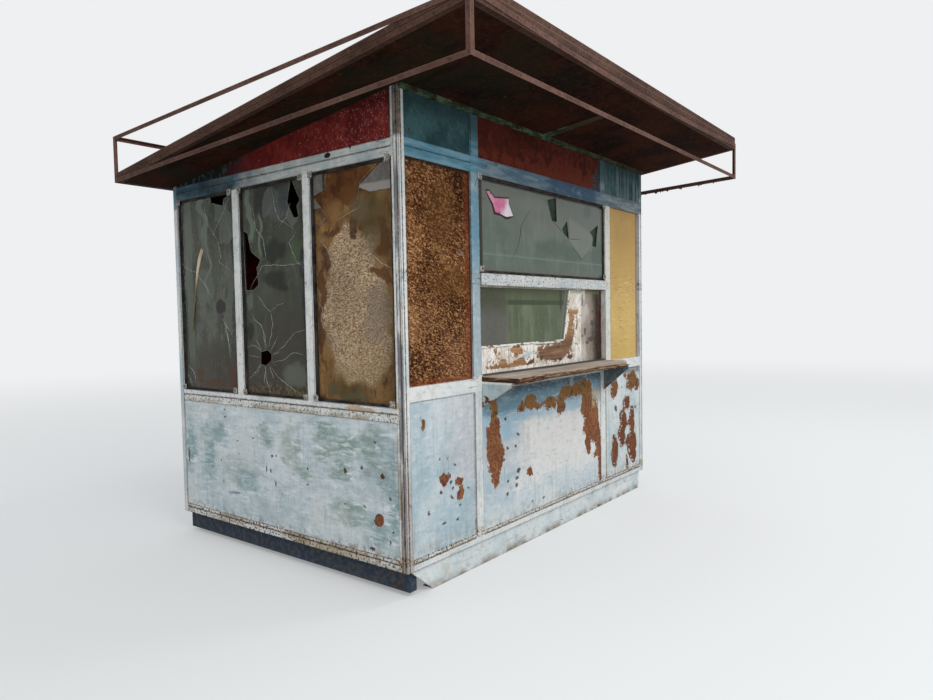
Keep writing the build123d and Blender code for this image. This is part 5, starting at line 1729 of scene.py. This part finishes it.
def shelf_splinters(finish):
    rng = random.Random(5)
    bm = bmesh.new()
    for k in range(SPLINTERS):
        x = SHELF_LOW.x + rng.random() ** 1.2 * (BREAK_FRONT.x - SHELF_LOW.x)
        z = rng.uniform(SHELF_LOW.z - 0.001, SHELF_HIGH.z - 0.002)
        length = rng.uniform(0.02, 0.085)
        thick = rng.uniform(0.0012, 0.0038)
        lean = turn(rng.uniform(-7, 7), "Y")
        yaw = turn(rng.uniform(-5, 5), "Z")
        lay = turn(rng.choice((90, -90)), "Y")
        add_cone(bm, 4, thick, SPLINTER_TIP, length, shift(x, SHELF_LOW.y + 0.001, z) @ yaw @ lean @ lay)
    slant = math.degrees(math.atan2(BREAK_FRONT.y - BREAK_BACK.y, BREAK_FRONT.x - BREAK_BACK.x))
    for k in range(BREAK_SPLINTERS):
        spot = BREAK_BACK.lerp(BREAK_FRONT, rng.random())
        z = rng.uniform(SHELF_LOW.z, SHELF_HIGH.z - 0.002)
        place = shift(spot.x, spot.y, z) @ turn(slant + rng.uniform(-25, 25), "Z") @ turn(90, "Y")
        add_cone(bm, 4, rng.uniform(0.0015, 0.004), SPLINTER_TIP, rng.uniform(0.015, 0.05), place)
    keep_bm("shelf_splinters", bm, finish)


def shelf_lower_layer(finish):
    x = SHELF_LOW.x - CORNER.x
    z = SHELF_LOW.z
    outline = [
        (x + 0.002, z - 0.0005), (x + 0.33, z - 0.0005), (x + 0.3, z - 0.003), (x + 0.255, z - 0.003),
        (x + 0.235, z - 0.008), (x + 0.12, z - 0.007), (x + 0.09, z - 0.01), (x + 0.002, z - 0.009),
    ]
    torn_sheet("shelf_lower_layer", "front", outline, LAYER_BACK, LAYER_WIDE, finish)


# Curled flakes of paint round the places where it has come off, on the lower front
FLAKES = 420
FLAKE = 0.012
FLAKE_OUT = -0.0028
FLAKE_T = 0.0006
FLAKE_CURL = 0.45


def paint_flakes(finish):
    rng = random.Random(31)
    bm = bmesh.new()
    for k in range(FLAKES):
        along, up, wide, tall = rng.choice(FRONT_LOST)[:4]
        way = rng.uniform(0, 2 * math.pi)
        reach = rng.uniform(0.96, 1.08)
        along += wide * reach * math.cos(way)
        up += tall * reach * math.sin(way)
        if min(math.hypot((along - row[0]) / row[2], (up - row[1]) / row[3]) for row in FRONT_LOST) < 0.94:
            continue
        width = rng.uniform(0.4, 1.0) * FLAKE
        made = bmesh.ops.create_grid(bm, x_segments=3, y_segments=1, size=0.5)
        for corner in made["verts"]:
            corner.co.z = FLAKE_CURL * (corner.co.x + 0.5) ** 2
            corner.co.y *= rng.uniform(0.5, 1.0)
        spin = Matrix.Rotation(way + rng.uniform(-0.6, 0.6) + math.pi, 4, "Z")
        place = on_wall("front") @ shift(along, up, FLAKE_OUT)
        size = Matrix.Diagonal((width, width, width, 1))
        bmesh.ops.transform(bm, matrix=place @ spin @ size, verts=made["verts"])
    bmesh.ops.solidify(bm, geom=bm.faces[:], thickness=FLAKE_T)
    keep_bm("front_paint_flakes", bm, finish)


# Beads that hold the hatch glass, from end to end and how wide: along its foot, and up its slanted side
BEADS = [
    ((0.7, 1.312), (1.352, 1.316), 0.013),
    ((1.56, 1.318), (1.7, 1.32), 0.009),
    ((1.7, 1.326), (1.784, 1.672), 0.012),
]
BEAD_T = 0.007
BEAD_OUT = -0.0205


def hatch_beads():
    bm = bmesh.new()
    for (x0, z0), (x1, z1), wide in BEADS:
        tilt = Matrix.Rotation(math.atan2(z1 - z0, x1 - x0), 4, "Z")
        place = on_wall("front") @ shift((x0 + x1) / 2, (z0 + z1) / 2, BEAD_OUT) @ tilt
        add_bar(bm, (math.dist((x0, z0), (x1, z1)), wide, BEAD_T), place, 0.0015)
    keep_bm("hatch_beads", bm, bead_paint())


# Roof sheet: a lapped strip on each seam, and nails along seams and edges
SHEET_T = 0.0015
SEAM_W = 0.03
SEAM_T = 0.0018
SEAM_SHORT = 0.1
NAIL = (8, 0.0065, 0.004, 0.0022)
NAIL_ROWS = 13
NAIL_EDGE = 0.02
NAIL_FRONT = 0.12
NAIL_SHORT = 0.2


def roof_seams(sheet, iron):
    deep = SHEET_HIGH.y - SHEET_LOW.y
    fall = (SHEET_HIGH.z - SHEET_LOW.z - SHEET_T) / deep
    pitch = Matrix.Rotation(-math.atan(fall), 4, "X")
    run = math.hypot(deep, SHEET_HIGH.z - SHEET_LOW.z) - SEAM_SHORT

    def on_sheet(x, y, lift):
        return shift(x, y, SHEET_HIGH.z - fall * (y - SHEET_LOW.y) + lift) @ pitch

    rng = random.Random(3)
    seams = bmesh.new()
    nails = bmesh.new()
    for x in SEAM_COLUMNS:
        add_bar(seams, (SEAM_W, run, SEAM_T), on_sheet(x, SHEET_LOW.y + deep / 2, SEAM_T / 2), 0.0005)
    for x in [SHEET_LOW.x + NAIL_EDGE, *SEAM_COLUMNS, SHEET_HIGH.x - NAIL_EDGE]:
        lift = SEAM_T if x in SEAM_COLUMNS else 0.0
        for k in range(NAIL_ROWS):
            y = SHEET_LOW.y + NAIL_FRONT + (deep - NAIL_SHORT) * k / (NAIL_ROWS - 1)
            y += rng.uniform(-0.02, 0.02)
            add_cone(nails, *NAIL, on_sheet(x + rng.uniform(-0.004, 0.004), y, lift))
    keep_bm("roof_seams", seams, sheet)
    keep_bm("roof_nails", nails, iron)


# Sign frame: weld beads at the corners, and crusts of rust that hang under the right rail
LOWER_LOW, LOWER_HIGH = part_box("sign_rails_lower")
UPPER_LOW, UPPER_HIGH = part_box("sign_rails_upper")
POST_LOW, POST_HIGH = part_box("sign_posts")
RAIL_W = 0.025
RAIL_T = 0.004
WELD_BEADS = 6
WELD_STEP = 0.0042
CRUSTS = 60


def sign_welds(finish):
    rng = random.Random(8)
    bm = bmesh.new()
    front_rails = (LOWER_HIGH.z - RAIL_W, UPPER_HIGH.z - RAIL_W)
    back_rails = (LOWER_LOW.z, UPPER_LOW.z)
    bead_out = RAIL_T + 0.0012
    for x in (POST_LOW.x, POST_HIGH.x):
        inward = 1 if x < 0 else -1
        for y, rails in ((POST_LOW.y, front_rails), (POST_HIGH.y, back_rails)):
            back = 1 if y < 0 else -1
            for z in rails:
                for k in range(WELD_BEADS):
                    for across, along in ((RAIL_W, bead_out), (bead_out, RAIL_W)):
                        place = shift(x + inward * across, y + back * along, z + 0.0015 + WELD_STEP * k)
                        size = rng.uniform(0.0022, 0.0034)
                        bmesh.ops.create_icosphere(bm, subdivisions=1, radius=size, matrix=place)
    keep_bm("sign_welds", bm, finish)


def rail_crusts():
    rng = random.Random(21)
    bm = bmesh.new()
    fall = (LOWER_HIGH.z - RAIL_W - LOWER_LOW.z) / (POST_HIGH.y - POST_LOW.y)
    for k in range(CRUSTS):
        y = rng.uniform(POST_LOW.y + 0.1, POST_HIGH.y - 0.1)
        z = LOWER_HIGH.z - RAIL_W - fall * (y - POST_LOW.y)
        place = shift(POST_HIGH.x - RAIL_T / 2, y, z + 0.001) @ turn(180, "X")
        stretched = place @ Matrix.Diagonal((0.0018, rng.uniform(0.004, 0.016), 1.0, 1.0))
        add_cone(bm, 6, 1.0, 0.25, rng.uniform(0.003, 0.014), stretched)
    keep_bm("rail_crusts", bm, crust_finish())


# The second pane behind the front one: smaller all round, and this far behind it
INNER_LESS = 0.022
INNER_T = 0.003
INNER_BACK = 0.008


def front_inner_pane():
    """The second pane, which shows dark green through what is broken out of the first."""
    low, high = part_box("front_window_pane")
    bm = bmesh.new()
    size = (high.x - low.x - INNER_LESS, INNER_T, high.z - low.z - INNER_LESS)
    add_bar(bm, size, shift((low.x + high.x) / 2, high.y + INNER_BACK, (low.z + high.z) / 2), 0.0005)
    keep_bm("front_inner_pane", bm, inner_glass())


clip_metal = clip_paint()
window_clips("front_window_clips", "front", FRONT_CLIPS, 1, clip_metal)
window_clips("left_window_clips", "left", SIDE_CLIPS, 2, clip_metal)
window_clips("right_window_clips", "right", SIDE_CLIPS, 3, clip_metal)
glass_cracks()
# Painted glints along the broken edges of the left panes
broken_rim_glints("left_broken_rims", "left_window_panes", 0, 0.0011, crack_finish("rim_glint", (0.3, 0.36, 0.3)))
edge_tone = crack_finish("scrap_edge", (0.045, 0.012, 0.022))
torn_sheet("pink_scrap", "front", SCRAP, PANE_FACE + 0.0004, 0.0012, scrap_paper(), 0.006)
torn_sheet("pink_scrap_edge", "front", SCRAP_EDGE, PANE_FACE + 0.0001, 0.0006, edge_tone)
torn_sheet("pale_strip", "left", STRIP, PANE_FACE + 0.0004, 0.0015, strip_finish(), 0.004)
torn_wood = splinter_finish()
shelf_splinters(torn_wood)
shelf_lower_layer(torn_wood)
paint_flakes(front_flake_paint())
hatch_beads()
roof_seams(tin, iron)
sign_welds(sign_metal)
rail_crusts()
front_inner_pane()

bpy.context.scene.view_settings.view_transform = "Standard"
